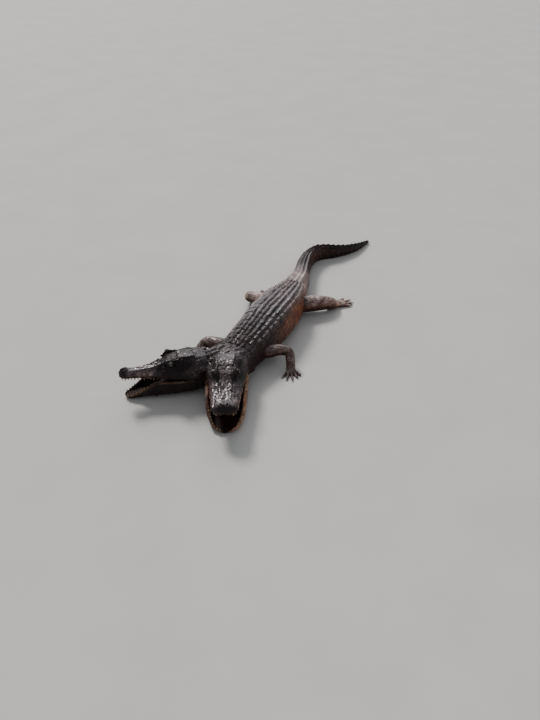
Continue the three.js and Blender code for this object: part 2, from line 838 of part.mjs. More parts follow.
function forkSide(hand) {
  const [[x0, y0], [x1, y1]] = FORK_LINE;
  const reach = 900;
  const line = vec(x1 - x0, y1 - y0, 0).normalize();
  const toLeft = vec(-line.y, line.x, 0);
  const centre = vec(x0, y0, 0).addScaledVector(toLeft, hand * (reach / 2 + GAP / 2));
  const box = new THREE.BoxGeometry(reach, reach, reach)
    .applyMatrix4(new THREE.Matrix4().makeBasis(toLeft, line.clone().negate(), vec(0, 0, 1)))
    .translate(centre.x, centre.y, centre.z);
  return solid(box);
}

// The space between a head's open jaws
function mouthSpace(frame, side) {
  const rise = Math.tan(HEADS[side].upper * DEG);
  const drop = Math.tan(-LOWER_TILT * DEG);
  const sections = [20, 60, 110, 160].map((at) => {
    const half = sizeAt(JAW_STATIONS, side, at);
    return {
      origin: vec(at, 0, 0).applyMatrix4(frame),
      side: vec(0, 1, 0).transformDirection(frame),
      up: vec(0, 0, 1),
      outline: [
        [-half, -at * drop - 12],
        [half, -at * drop - 12],
        [half, at * rise + 6],
        [-half, at * rise + 6],
      ],
    };
  });
  return solid(loft(sections));
}

const cut = (piece, cutters) => cutters.reduce((left, tool) => left.subtract(tool), piece);
const neckPieces = ["left", "right"].flatMap((side) => {
  const sections = neckSections(side);
  return [shape(sections), ...nuchalScutes(sections, NECK_END.top)];
});
const bothNecks = union(neckPieces);
const headCutters = [];
const earlier = [];
for (const side of ["left", "right"]) {
  const frame = headFrame(side);
  const upperFrame = frame.clone().multiply(tilt(HEADS[side].upper));
  const lowerFrame = frame.clone().multiply(tilt(LOWER_TILT));
  const upperSections = alongHead(HEAD_STATIONS, headOutline, upperFrame, side);
  const lowerSections = alongHead(JAW_STATIONS, jawOutline, lowerFrame, side);
  const upperCutter = cutter(upperSections);
  const lowerCutter = cutter(lowerSections);
  const lids = [];
  const sockets = [];
  for (const [hand, sign] of [["left", 1], ["right", -1]]) {
    const centre = eyeCentre(upperFrame, sign);
    lids.push(ball(1, centre, [LID.long, LID.wide, LID.high], upperFrame, 10));
    const outward = vec(EYE_SHIFT.along, sign * EYE_SHIFT.out, EYE_SHIFT.up).transformDirection(upperFrame);
    const pupil = centre.clone().addScaledVector(outward, EYE_SHIFT.by);
    sockets.push(ball(EYE_RADIUS + GAP, pupil));
    addPart(`${side}_head_${hand}_eye`, ball(EYE_RADIUS, pupil), eyeball);
  }
  const skull = [
    shape(upperSections),
    ...lids,
    ...skullPieces(upperFrame, side),
    ...jawTeeth(upperFrame, HEAD_STATIONS, side, TEETH.upper),
  ];
  const tongueWide = TONGUE.share * sizeAt(JAW_STATIONS, side, TONGUE.at);
  const tongue = ball(
    1,
    vec(TONGUE.at, 0, TONGUE.height).applyMatrix4(lowerFrame),
    [TONGUE.long, tongueWide, TONGUE.thick],
    lowerFrame,
    10,
  );
  const jaw = [shape(lowerSections), tongue, ...jawTeeth(lowerFrame, JAW_STATIONS, side, TEETH.lower)];
  addPart(`${side}_head`, cut(union(skull), [...sockets, ...nostrils(upperFrame, side), ...earlier]), hide);
  addPart(`${side}_lower_jaw`, cut(union(jaw), [upperCutter, ...earlier]), hide);
  earlier.push(upperCutter, lowerCutter);
  headCutters.push(upperCutter, lowerCutter, mouthSpace(frame, side));
}
for (const [side, hand] of [["left", 1], ["right", -1]]) {
  addPart(`${side}_neck`, cut(bothNecks.intersect(forkSide(hand)), headCutters), hide);
}

for (const name of Object.keys(LIMBS)) {
  const last = LIMBS[name].stations.length - 1;
  const [upper, lower] = name.endsWith("fore") ? ["upper_arm", "forearm"] : ["thigh", "shin"];
  const side = name.split("_")[0];
  const lowerSections = limbSections(name, ELBOW, last, 6);
  const upperPiece = shape(limbSections(name, 0, ELBOW, 8)).subtract(trunkCutter).subtract(cutter(lowerSections, 2 * GAP));
  addPart(`${side}_${upper}`, upperPiece, hide);
  addPart(`${side}_${lower}`, shape(lowerSections), hide);
  addPart(`${side}_${LIMBS[name].foot}`, union(footPieces(name)), hide);
}

export default model;
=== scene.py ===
# The looks of a two-headed American alligator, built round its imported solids.
import math

import bpy
import numpy as np
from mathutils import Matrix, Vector
from mathutils.kdtree import KDTree


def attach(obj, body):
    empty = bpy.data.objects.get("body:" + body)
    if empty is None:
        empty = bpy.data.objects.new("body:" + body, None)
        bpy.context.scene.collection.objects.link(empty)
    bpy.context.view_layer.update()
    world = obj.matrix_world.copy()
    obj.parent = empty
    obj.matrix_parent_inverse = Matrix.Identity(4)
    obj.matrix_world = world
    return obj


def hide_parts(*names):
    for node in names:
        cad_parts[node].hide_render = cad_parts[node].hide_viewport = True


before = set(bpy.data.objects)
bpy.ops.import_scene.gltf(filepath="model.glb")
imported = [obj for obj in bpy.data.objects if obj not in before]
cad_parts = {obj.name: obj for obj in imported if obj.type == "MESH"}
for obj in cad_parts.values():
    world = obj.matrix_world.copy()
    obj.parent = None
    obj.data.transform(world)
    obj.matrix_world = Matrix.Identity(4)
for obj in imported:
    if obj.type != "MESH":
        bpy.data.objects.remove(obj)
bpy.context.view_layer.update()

MM = 0.001
RNG = np.random.default_rng(7)

# Skin resolution and smoothing
VOXEL = 1.8
SMOOTH_ROUNDS = 5

# Backbone seen from above, millimetres, and sizes along it: half width, top, belly, squareness
BACKBONE = [
    (-10, -205), (-13, -90), (-25, 60), (-38, 200), (-60, 330), (-92, 470),
    (-138, 600), (-162, 700), (-152, 785), (-78, 868), (-30, 960), (-8, 1090),
]
BODY = [
    (0, 80, 116, 12, 0.8), (70, 83, 129, 5, 0.78), (160, 87, 138, 1, 0.76),
    (280, 96, 147, -7, 0.76), (400, 92, 142, -7, 0.76), (490, 77, 126, 0, 0.78),
    (560, 62, 112, 5, 0.82), (640, 50, 101, 4, 0.84), (700, 44, 91, 2, 0.84),
    (830, 31, 83, -3, 0.82), (930, 23, 78, -4, 0.8), (1025, 18, 72, -4, 0.8),
    (1140, 12, 53, -3, 0.8), (1240, 8, 36, -3, 0.85), (1330, 4.5, 18, -1, 0.9),
    (1366, 2, 9, 2, 1),
]
HALF, TOP, BELLY, SQUARE = 1, 2, 3, 4
TRUNK_END = 560
TAIL_END = 1366
FLOOR = 0.2

# Heads: jaw joint's place, the way the head points, and the upper jaw's tilt
HEADS = {"left": (4, -276, 31.5, 4), "right": (-78, -326, -43, 5)}
JOINT_HEIGHT = 72
LOWER_TILT = -11.5
HEAD_BACK = -14
# Upper head: half width of the left and right head, side height, roof height, roof share
SKULL = [
    (-14, 71, 71, 38, 64, 0.44), (10, 75, 74, 40, 71, 0.43), (45, 74, 72, 37, 74, 0.43),
    (75, 70, 66, 33, 72, 0.43), (105, 65, 58, 28, 66, 0.42), (130, 61, 51, 23, 57, 0.42),
    (155, 58, 44, 20, 43, 0.44), (185, 54, 36, 17, 33, 0.5), (215, 50, 29, 15, 28, 0.54),
    (240, 47, 24, 14, 26, 0.55), (262, 46, 23, 14, 28, 0.54), (278, 41, 22, 14, 29, 0.52),
    (290, 29, 16, 12, 25, 0.5), (297, 12, 8, 8, 17, 0.5),
]
# Lower jaw: half width of the left and right head, depth, depth of the mouth's floor, height of the lip
JAW = [
    (-14, 70, 70, 52, 3, 0), (20, 75, 73, 56, 6, 3), (60, 76, 69, 54, 12, 11), (110, 75, 60, 46, 14, 22),
    (160, 72, 49, 36, 13, 31), (210, 66, 38, 25, 10, 20), (245, 56, 29, 19, 7, 7), (268, 44, 23, 17, 4, 2),
    (284, 27, 15, 14, 1.5, 0), (291, 11, 7, 9, 0.5, 0),
]
WIDTH_OF = {"left": 1, "right": 2}
SIDE_HEIGHT, ROOF_HEIGHT, ROOF_SHARE = 3, 4, 5
JAW_DEPTH, JAW_FLOOR, JAW_LIP = 3, 4, 5
NECK_START = (77, 117, 10, 0.8)
NECK_END = (70, 130, 22, 0.78)
NECK_ASIDE = 9
NECK_REACH = 10

# Limbs: points from inside the trunk to the wrist or ankle, with half width and half height
LIMBS = {
    "left_fore": (
        [(20, -118, 58, 30, 27), (72, -96, 58, 26, 23), (112, -66, 61, 21, 20),
         (142, -57, 57, 18, 18), (158, -72, 38, 18, 17), (168, -88, 17, 17, 12)],
        38, "hand"),
    "right_fore": (
        [(-50, -142, 56, 34, 30), (-98, -152, 57, 32, 30), (-140, -160, 63, 26, 25),
         (-167, -168, 61, 19, 19), (-180, -186, 40, 18, 17), (-188, -204, 17, 17, 12)],
        -30, "hand"),
    "left_hind": (
        [(-20, 262, 54, 42, 34), (28, 305, 49, 38, 33), (72, 346, 44, 32, 32),
         (99, 375, 38, 26, 28), (107, 398, 27, 27, 25), (113, 420, 15, 23, 15)],
        146, "foot"),
    "right_hind": (
        [(-70, 262, 58, 44, 38), (-130, 252, 50, 36, 31), (-185, 245, 44, 27, 25),
         (-222, 250, 40, 21, 21), (-228, 277, 27, 18, 18), (-218, 303, 14, 17, 12)],
        163, "foot"),
}
# Palm length, half width, height, digits (angle, length, offset), how many are clawed, thickness
FEET = {
    "hand": (30, 19, 15, [(40, 30, 14), (20, 41, 8), (3, 46, 1), (-14, 40, -7), (-32, 29, -14)], 3, 5),
    "foot": (43, 24, 19, [(24, 36, 14), (7, 49, 6), (-9, 51, -4), (-25, 40, -14)], 3, 6.5),
}
CLAW_LENGTH = 13

EYE_RADIUS = 11
EYE_PLACE = (116, 33, 53)
EYE_SHIFT = (0.15, 1.0, 0.35)
EYE_SHIFT_BY = 7
EYE_LOOK = (0.25, 1.0, 0.28)
LID = (20, 14, 13)

# Rolls of the lips: place along the jaw and size
UPPER_ROLLS = ((98, 5.0), (128, 5.5), (160, 6.0), (196, 6.5), (222, 5.0), (246, 5.5), (268, 6.5))
LOWER_ROLLS = ((112, 5.0), (146, 5.0), (184, 5.5), (216, 5.0), (242, 5.5), (262, 5.5))
# Skull table: start, end and rise
# Nose pad: place, length, share of the width, height
# Tongue: place, length, share of the width, height and thickness
TABLE = (30, 98, 4.5)
NOSE = (276, 15, 0.5, 10)
TONGUE = (122, 84, 0.42, -5, 9)

BODY_REGION, NECK_REGION, SKULL_REGION, JAW_REGION, LIMB_REGION, FOOT_REGION = range(6)
UP = np.array([0, 0, 1.0])


def size_at(stations, column, at):
    """One size along a list of stations: a cubic through them that never overshoots."""
    table = np.array(stations, float)
    x = table[:, 0]
    y = table[:, column]
    at = np.asarray(at, float)
    i = np.clip(np.searchsorted(x, at, side="left") - 1, 0, len(x) - 2)
    slope = np.diff(y) / np.diff(x)
    tangent = np.zeros(len(x))
    tangent[0] = slope[0]
    tangent[-1] = slope[-1]
    product = slope[:-1] * slope[1:]
    total = np.where(slope[:-1] + slope[1:] == 0, 1, slope[:-1] + slope[1:])
    tangent[1:-1] = np.where(product > 0, 2 * product / total, 0)
    span = x[i + 1] - x[i]
    t = np.clip((at - x[i]) / span, 0, 1)
    t2 = t * t
    t3 = t2 * t
    return (
        (2 * t3 - 3 * t2 + 1) * y[i]
        + (t3 - 2 * t2 + t) * span * tangent[i]
        + (3 * t2 - 2 * t3) * y[i + 1]
        + (t3 - t2) * span * tangent[i + 1]
    )


def one_size(stations, column, at):
    return float(size_at(stations, column, at))


def spline(points, share):
    """Places on a centripetal curve through points, at shares counted evenly over its segments."""
    p = np.array(points, float)
    p = np.vstack([2 * p[0] - p[1], p, 2 * p[-1] - p[-2]])
    segments = len(points) - 1
    t = np.clip(np.asarray(share, float), 0, 1) * segments
    i = np.minimum(t.astype(int), segments - 1)
    w = (t - i)[..., None]
    a, b, c, d = p[i], p[i + 1], p[i + 2], p[i + 3]
    step = [np.maximum(((n - m) ** 2).sum(-1, keepdims=True) ** 0.25, 1e-4) for m,
        n in ((a, b), (b, c), (c, d))]
    t1 = ((b - a) / step[0] - (c - a) / (step[0] + step[1]) + (c - b) / step[1]) * step[1]
    t2 = ((c - b) / step[1] - (d - b) / (step[1] + step[2]) + (d - c) / step[2]) * step[1]
    return b + t1 * w + (-3 * b + 3 * c - 2 * t1 - t2) * w**2 + (2 * b - 2 * c + t1 + t2) * w**3


def unit(v):
    return v / np.maximum(np.linalg.norm(v, axis=-1, keepdims=True), 1e-12)


def ramp(value, low, high):
    """A soft step up from 0 to 1 between two values."""
    t = np.clip((value - low) / (high - low), 0, 1)
    return t * t * (3 - 2 * t)


def fade(value, low, high):
    return 1 - ramp(value, low, high)


def bell(value, middle, spread):
    return np.exp(-(((value - middle) / spread) ** 2))


LINE_SHARES = np.linspace(0, 1, 4000)
LINE = spline([(x, y, 0) for x, y in BACKBONE], LINE_SHARES)
LINE_LENGTHS = np.concatenate([[0], np.cumsum(np.linalg.norm(np.diff(LINE, axis=0), axis=1))])
BACKBONE_LENGTH = LINE_LENGTHS[-1]


def backbone(at):
    """Origin, direction along and direction to the animal's left of the curve at distances along it."""
    at = np.asarray(at, float)
    origin, ahead, behind = (
        np.stack([np.interp(at + step, LINE_LENGTHS, LINE[:, k]) for k in range(3)], -1)
        for step in (0, 1, -1))
    along = unit(ahead - behind)
    side = np.stack([along[..., 1], -along[..., 0], np.zeros_like(along[..., 0])], -1)
    return origin, along, side


def power(value, exponent):
    return np.sign(value) * np.abs(value) ** exponent


def rounded(angle, half, top, belly, square):
    """A rounded outline with a flatter belly, as offsets to the side and heights."""
    middle = belly + 0.42 * (top - belly)
    sine = np.sin(angle)
    reach = np.where(sine > 0, top - middle, middle - belly)
    return half * power(np.cos(angle), square), middle + reach * power(sine, square)


def body_point(at, angle, lift=0.0):
    sizes = [size_at(BODY, column, at) for column in (HALF, TOP, BELLY, SQUARE)]
    across, height = rounded(angle, *sizes)
    origin, _, side = backbone(at)
    return origin + side * across[..., None] + UP * (height + lift)[..., None]


def head_matrix(which, tilt=0.0):
    """Columns: forward, left, up and the jaw joint's place."""
    x, y, yaw, _ = HEADS[which]
    turn = math.radians(yaw)
    forward = np.array([math.sin(turn), -math.cos(turn), 0])
    left = np.array([-forward[1], forward[0], 0])
    up = UP
    lean = math.radians(tilt)
    return (
        np.stack([forward * math.cos(lean) + up * math.sin(lean), left, up * math.cos(lean) - forward
            * math.sin(lean)]),
        np.array([x, y, JOINT_HEIGHT], float),
    )


def upper_matrix(which):
    return head_matrix(which, HEADS[which][3])


def lower_matrix(which):
    return head_matrix(which, LOWER_TILT)


def place(matrix, local):
    axes, origin = matrix
    return origin + np.asarray(local, float) @ axes


def local_to(matrix, points):
    axes, origin = matrix
    return (points - origin) @ axes.T


def closed_curve(corners, samples):
    """Closed outlines through their corners, rounded, as (sections, samples, 2)."""
    count = corners.shape[1]
    t = np.arange(samples) / samples * count
    i = t.astype(int)
    w = (t - i)[None, :, None]
    a, b, c, d = (corners[:, (i + k) % count] for k in (-1, 0, 1, 2))
    return 0.5 * (2 * b + (c - a) * w + (2 * a - 5 * b + 4 * c - d) * w**2 + (3 * b - 3 * c + d - a)
        * w**3)


def mirrored(half_outline):
    """(sections, corners, 2) from the bottom centre to the top centre, made whole."""
    inner = half_outline[:, -2:0:-1] * np.array([-1, 1])
    return np.concatenate([half_outline, inner], axis=1)


def outline_of(corners):
    return mirrored(np.stack([np.stack(np.broadcast_arrays(a, b), -1) for a, b in corners], axis=1))


def skull_outline(at, which):
    half = size_at(SKULL, WIDTH_OF[which], at)
    side = size_at(SKULL, SIDE_HEIGHT, at)
    top = size_at(SKULL, ROOF_HEIGHT, at)
    roof = size_at(SKULL, ROOF_SHARE, at) * half
    zero = np.zeros_like(half)
    return outline_of([
        (zero, zero + 5), (0.4 * half, zero + 4.5), (0.72 * half, zero + 2.5), (0.93 * half, zero),
        (half, zero + 4), (half, 0.6 * side), (0.96 * half, side),
        (0.5 * (half + roof), 0.42 * side + 0.58 * top), (roof, top - 2), (0.5 * roof, top), (zero, top),
    ])


def jaw_outline(at, which):
    half = size_at(JAW, WIDTH_OF[which], at)
    depth = size_at(JAW, JAW_DEPTH, at)
    floor = size_at(JAW, JAW_FLOOR, at)
    lip = size_at(JAW, JAW_LIP, at)
    zero = np.zeros_like(half)
    return outline_of([
        (zero, -depth), (0.5 * half, -depth), (0.86 * half, -0.72 * depth), (half, -0.35 * depth),
        (half, lip - 2), (0.95 * half, lip), (0.86 * half, lip), (0.74 * half, -floor),
        (0.4 * half, -0.6 * floor), (zero, -0.5 * floor),
    ])


def tube_faces(steps, sides, start=0):
    """The faces between rings that follow each other."""
    corners = [(start + i * sides, k, (k + 1) % sides) for i in range(steps - 1) for k in range(sides)]
    return [(base + a, base + b, base + b + sides, base + a + sides) for base, a, b in corners]


def tube_rings(path, radii, sides, level):
    """Round rings along a path, square to it."""
    direction = unit(np.gradient(path, axis=0))
    across = unit(np.cross(direction, np.array(level)))
    up = np.cross(across, direction)
    turn = np.arange(sides) / sides * 2 * math.pi
    return (
        path[:, None]
        + across[:, None] * (np.cos(turn) * radii[:, None])[..., None]
        + up[:, None] * (np.sin(turn) * radii[:, None])[..., None]
    )


class Shell:
    """Closed bodies gathered into one mesh, with what part of the animal each point belongs to."""

    def __init__(self):
        self.points = []
        self.faces = []
        self.region = []
        self.owner = []
        self.along = []
        self.count = 0

    def add(self, points, faces, region, owner, along):
        self.points.append(points)
        self.faces.extend([tuple(int(i) + self.count for i in face) for face in faces])
        self.region.append(np.full(len(points), region))
        self.owner.append(np.full(len(points), owner))
        self.along.append(np.broadcast_to(along, (len(points),)))
        self.count += len(points)

    def rings(self, rings, region, owner, along):
        """A closed tube through rings of points, with a rounded fan at each end."""
        rings = np.asarray(rings, float)
        steps, sides, _ = rings.shape
        points = rings.reshape(-1, 3)
        ends = np.stack([rings[0].mean(0), rings[-1].mean(0)])
        faces = tube_faces(steps, sides)
        first, last = steps * sides, steps * sides + 1
        for k in range(sides):
            faces.append((first, (k + 1) % sides, k))
            faces.append((last, (steps - 1) * sides + k, (steps - 1) * sides + (k + 1) % sides))
        values = np.concatenate([np.repeat(np.asarray(along, float), sides), [along[0], along[-1]]])
        self.add(np.vstack([points, ends]), faces, region, owner, values)

    def ball(self, centre, radii, axes, region, owner, along, sides=24):
        rows = sides // 2
        rings = []
        for i in range(1, rows):
            tilt = math.pi * i / rows
            turn = np.arange(sides) / sides * 2 * math.pi
            offsets = np.stack(
                [np.full(sides, math.cos(tilt)), math.sin(tilt) * np.cos(turn), math.sin(tilt)
                    * np.sin(turn)], -1)
            rings.append(centre + (offsets * np.array(radii)) @ axes)
        self.rings(rings, region, owner, np.full(len(rings), along))

    def tube(self, path, radii, region, owner, along, sides=12):
        path = np.asarray(path, float)
        rings = tube_rings(path, np.broadcast_to(radii, (len(path),)), sides, (0.05, 0.03, 1.0))
        self.rings(rings, region, owner, np.broadcast_to(along, (len(path),)))


def neck_rings(which, steps=26, sides=64):
    axes, _ = head_matrix(which)
    origin0, along0, side0 = (v[0] for v in backbone(np.array([0.0])))
    end = place(head_matrix(which), (HEAD_BACK + NECK_REACH, 0, -JOINT_HEIGHT))
    aside = -NECK_ASIDE if which == "left" else NECK_ASIDE
    start = origin0 + along0 * 6 - side0 * aside
    reach = np.linalg.norm(start - end) / 3
    control = np.stack([start, start - along0 * reach, end - axes[0] * reach, end])
    t = np.linspace(0, 1, steps)[:, None]
    curve = control[0] * (1 - t) ** 3 + 3 * control[1] * t * (1 - t) ** 2
    curve = curve + 3 * control[2] * t**2 * (1 - t) + control[3] * t**3
    along = unit(np.gradient(curve, axis=0))
    side = np.stack([-along[:, 1], along[:, 0], np.zeros(steps)], -1)
    angle = np.arange(sides) / sides * 2 * math.pi
    sizes = [(a + (b - a) * t) for a, b in zip(NECK_START, NECK_END)]
    across, height = rounded(angle[None, :], *sizes)
    rings = curve[:, None] + side[:, None] * across[..., None]
    rings[..., 2] = height
    return rings


def limb_rings(name, share, sides=32, grow=0.0):
    """Rings round a limb at shares of its length, with its directions."""
    stations = LIMBS[name][0]
    path = [s[:3] for s in stations]
    origin = spline(path, share)
    along = unit(spline(path, np.minimum(share + 1e-3, 1)) - spline(path, np.maximum(share - 1e-3, 0)))
    side = unit(np.stack([along[:, 1], -along[:, 0], np.zeros(len(share))], -1))
    up = np.cross(side, along)
    at = share * (len(stations) - 1)
    sized = [(i, s[3], s[4]) for i, s in enumerate(stations)]
    wide = size_at(sized, 1, at) + grow
    high = size_at(sized, 2, at) + grow
    angle = np.arange(sides) / sides * 2 * math.pi
    across, height = rounded(angle[None, :], wide[:, None], high[:, None], -high[:, None], 0.95)
    rings = origin[:, None] + side[:, None] * across[..., None] + up[:, None] * height[..., None]
    rings[..., 2] = np.maximum(rings[..., 2], FLOOR)
    return rings, origin, along, side, up


def heading(degrees):
    turn = math.radians(degrees)
    return np.array([math.sin(turn), -math.cos(turn), 0])


def flat_ring(origin, across, half, top, belly, square, sides):
    angle = np.arange(sides) / sides * 2 * math.pi
    a, b = rounded(angle, half, top, belly, square)
    ring = origin + across * a[:, None]
    ring[:, 2] = np.maximum(b + origin[2], FLOOR)
    return ring


def foot_parts(name, shell, claws):
    """A palm, its knuckled digits and webs into the shell, and the claws' paths into a list."""
    stations, yaw, kind = LIMBS[name]
    palm, half, high, digits, clawed, thick = FEET[kind]
    owner = list(LIMBS).index(name)
    mirror = 1 if name.startswith("left") else -1
    wrist = np.array(stations[-1][:3], float)
    forward = heading(yaw)
    across = -np.array([-forward[1], forward[0], 0])
    last, _, _, _, _ = limb_rings(name, np.array([0.93, 1.0]), 32)
    rings = [last[0], last[1]]
    ground = wrist * np.array([1, 1, 0])
    for share, wide, tall in ((0.3, 0.9, 1.4), (0.55, 0.97, 1.2), (0.8, 1.02, 0.98), (1.0, 0.96, 0.8)):
        ring = flat_ring(ground + forward * palm * share, across, half * wide, high * tall, -3, 0.85, 32)
        rings.append(ring)
    shell.rings(rings, FOOT_REGION, owner, np.linspace(0, 0.5, len(rings)))
    tips = []
    for i, (angle, length, offset) in enumerate(digits):
        direction = heading(yaw - mirror * angle)
        side = -np.array([-direction[1], direction[0], 0])
        to_left = np.array([-forward[1], forward[0], 0])
        root = ground + forward * palm * 0.6 - to_left * mirror * offset
        rings = []
        shares = np.linspace(0, 1, 15)
        reach = length + palm * 0.12
        for share in shares:
            knuckle = 1 + 0.13 * (bell(share, 0.42, 0.09) + bell(share, 0.74, 0.08))
            taper = (1 - 0.22 * share) * fade(share, 0.93, 1.08)
            radius = thick * knuckle * taper
            arch = 1.12 - 0.2 * share + 0.12 * bell(share, 0.42, 0.12)
            origin = root + direction * reach * share
            rings.append(flat_ring(origin, side, radius, 2 * radius * arch, -1, 0.95, 16))
        shell.rings(rings, FOOT_REGION, owner, 0.5 + 0.5 * shares)
        tips.append((root, root + direction * reach * (0.62 if kind == "foot" else 0.3)))
        if i < clawed:
            tip = root + direction * reach
            path = []
            for share in np.linspace(-0.45, 1, 9):
                height = 5.2 - 0.5 * share - 2.9 * max(share, 0) ** 2
                path.append(tip + direction * CLAW_LENGTH * share + np.array([0, 0, height]))
            claws.append((np.array(path), 2.6))
    for (root_a, tip_a), (root_b, tip_b) in zip(tips[:-1], tips[1:]):
        rings = []
        for share in np.linspace(0.1, 1, 6):
            a = root_a + (tip_a - root_a) * share
            b = root_b + (tip_b - root_b) * share
            middle = (a + b) / 2
            width = np.linalg.norm(b - a) / 2
            height = 6.5 - 3.0 * share
            rings.append(flat_ring(middle, unit(b - a), width, height, 0.2, 0.7, 12))
        shell.rings(rings, FOOT_REGION, owner, np.full(6, 0.6))


def eye_spot(which, hand):
    """The eye's place in its head: the lids' middle and the eyeball's middle."""
    middle = np.array([EYE_PLACE[0], hand * EYE_PLACE[1], EYE_PLACE[2]], float)
    shift = unit(np.array([EYE_SHIFT[0], hand * EYE_SHIFT[1], EYE_SHIFT[2]]))
    return middle, middle + shift * EYE_SHIFT_BY


def eye_axes(hand):
    """Where an eye looks, and the level and upright directions of its opening, in its head."""
    look = unit(np.array([EYE_LOOK[0], hand * EYE_LOOK[1], EYE_LOOK[2]]))
    level = unit(np.cross(UP, look))
    return look, level, np.cross(look, level)


def head_rings(matrix, at, outline):
    flat = closed_curve(outline, 96)
    return place(matrix, np.concatenate([np.broadcast_to(at[:, None, None], flat.shape[:2] + (1,)), flat],
        -1))


def head_parts(which, shell):
    owner = 0 if which == "left" else 1
    upper = upper_matrix(which)
    lower = lower_matrix(which)
    axes = upper[0]
    at = np.concatenate([np.arange(HEAD_BACK, 280, 4.0), [280, 284, 288, 291, 294, 296, 297]])
    shell.rings(head_rings(upper, at, skull_outline(at, which)), SKULL_REGION, owner, at)
    at = np.concatenate([np.arange(HEAD_BACK, 276, 4.0), [276, 280, 284, 287, 289, 291]])
    rings = head_rings(lower, at, jaw_outline(at, which))
    rings[..., 2] = np.maximum(rings[..., 2], FLOOR)
    shell.rings(rings, JAW_REGION, owner, at)
    width = WIDTH_OF[which]

    def top(at):
        return one_size(SKULL, ROOF_HEIGHT, at)

    def half(at):
        return one_size(SKULL, width, at)

    for hand in (1, -1):
        middle, eye = eye_spot(which, hand)
        shell.ball(place(upper, middle), LID, axes, SKULL_REGION, owner, 116)
        shell.ball(place(upper, eye), (EYE_RADIUS + 1.5,) * 3, axes, SKULL_REGION, owner, 116)
        # Lid rims: an almond-shaped roll round the open part of the eye
        turn = np.linspace(0, 2 * math.pi, 33)[:-1]
        look, level, rise = eye_axes(hand)
        wide = 0.74 * np.cos(turn)
        tall = 0.46 * np.sin(turn) * (1 - 0.25 * np.abs(np.cos(turn)))
        loop = eye + unit(look + level[None] * wide[:, None] + rise[None] * tall[:, None]) * (EYE_RADIUS
            + 0.9)
        thick = 2.4 + 1.0 * np.clip(np.sin(np.append(turn, turn[:2])), 0, 1)
        shell.tube(place(upper, np.vstack([loop, loop[:2]])), thick, SKULL_REGION, owner, 116)
        # Brow from the table's corner over the eye, ridge down the snout, ear flap under the table's edge
        roof = one_size(SKULL, ROOF_SHARE, 66) * half(66)
        brow = [(86, 30, top(86) - 2), (100, 31.5, 66), (116, 32, 66.5), (131, 31, 61), (144, 26, 50)]
        ridge = [(a, half(a) * 0.36, top(a) - 1.5) for a in (150, 175, 205, 235)]
        ear = [(54, roof + 5, top(54) - 6), (67, roof + 6, top(66) - 6.5), (82, roof + 3, top(82) - 5)]
        for path, samples, middle, radii, spot in (
            (brow, 24, 0.5, [4, 5, 3], 110), (ridge, 24, 0.4, [4.5, 4, 2.5], 190),
            (ear, 12, 0.5, [3.2] * 3, 66),
        ):
            share = np.linspace(0, 1, samples)
            line = spline([(a, hand * b, c) for a, b, c in path], share)
            shell.tube(place(upper, line), np.interp(share, [0, middle, 1], radii), SKULL_REGION, owner,
                spot)
        # Cheek muscle behind the mouth's corner
        centre = place(upper, (30, hand * (half(30) - 16), 8))
        shell.ball(centre, (38, 20, 30), axes, SKULL_REGION, owner, 30)
        # Festooned lips: rolls where the large teeth stand
        for matrix, stations, zone, inset, flat, rolls in (
            (upper, SKULL, SKULL_REGION, 0.62, 0.95, UPPER_ROLLS),
            (lower, JAW, JAW_REGION, 0.72, 0.9, LOWER_ROLLS),
        ):
            for spot, size in rolls:
                edge = one_size(stations, width, spot) - size * inset
                height = 6 if zone == SKULL_REGION else one_size(JAW, JAW_LIP, spot) - 5
                centre = place(matrix, (spot, hand * edge, height))
                shell.ball(centre, (size * 1.9, size, size * flat), matrix[0], zone, owner, spot, 14)
    # Skull table, flat with raised edges
    steps = [(TABLE[0], 0.82, 0.2), (TABLE[0] + 6, 0.97, 0.9), (TABLE[0] + 20, 1.02, 1),
        (TABLE[1] - 18, 1.0, 1),
             (TABLE[1] - 6, 0.95, 0.8), (TABLE[1], 0.78, 0.1)]
    rings = []
    for spot, wide, rise in steps:
        reach = one_size(SKULL, ROOF_SHARE, spot) * half(spot) * wide
        height = top(spot) + rise * TABLE[2]
        corners = np.array([[(-reach * 0.9, height - 16), (0, height - 16), (reach * 0.9, height - 16),
                             (reach, height - 5), (reach * 0.95, height), (reach * 0.6, height - 1.2),
                             (0, height - 2), (-reach * 0.6, height - 1.2), (-reach * 0.95, height),
                             (-reach, height - 5)]])
        outline = closed_curve(corners, 40)[0]
        rings.append(place(upper, np.column_stack([np.full(40, spot), outline])))
    shell.rings(rings, SKULL_REGION, owner, np.array([s[0] for s in steps], float))
    # Nose pad
    nose = place(upper, (NOSE[0], 0, top(NOSE[0]) - 4))
    shell.ball(nose, (NOSE[1], NOSE[2] * half(NOSE[0]), NOSE[3]), axes, SKULL_REGION, owner, NOSE[0])
    # Tongue
    wide = TONGUE[2] * one_size(JAW, width, TONGUE[0])
    shell.ball(place(lower, (TONGUE[0], 0, TONGUE[3])), (TONGUE[1], wide, TONGUE[4]), lower[0],
        JAW_REGION, owner, TONGUE[0])


def new_object(name, points, faces, smooth=True):
    mesh = bpy.data.meshes.new(name)
    mesh.from_pydata((np.asarray(points) * MM).tolist(), [], faces)
    mesh.update()
    if smooth:
        mesh.polygons.foreach_set("use_smooth", np.ones(len(mesh.polygons), bool))
    thing = bpy.data.objects.new(name, mesh)
    bpy.context.scene.collection.objects.link(thing)
    return thing


def read(items, name, width, kind=np.float32):
    flat = np.empty(len(items) * width, kind)
    items.foreach_get(name, flat)
    return flat.reshape(-1, width) if width > 1 else flat


def search_tree(points):
    made = KDTree(len(points))
    for i, p in enumerate(points):
        made.insert(p, i)
    made.balance()
    return made


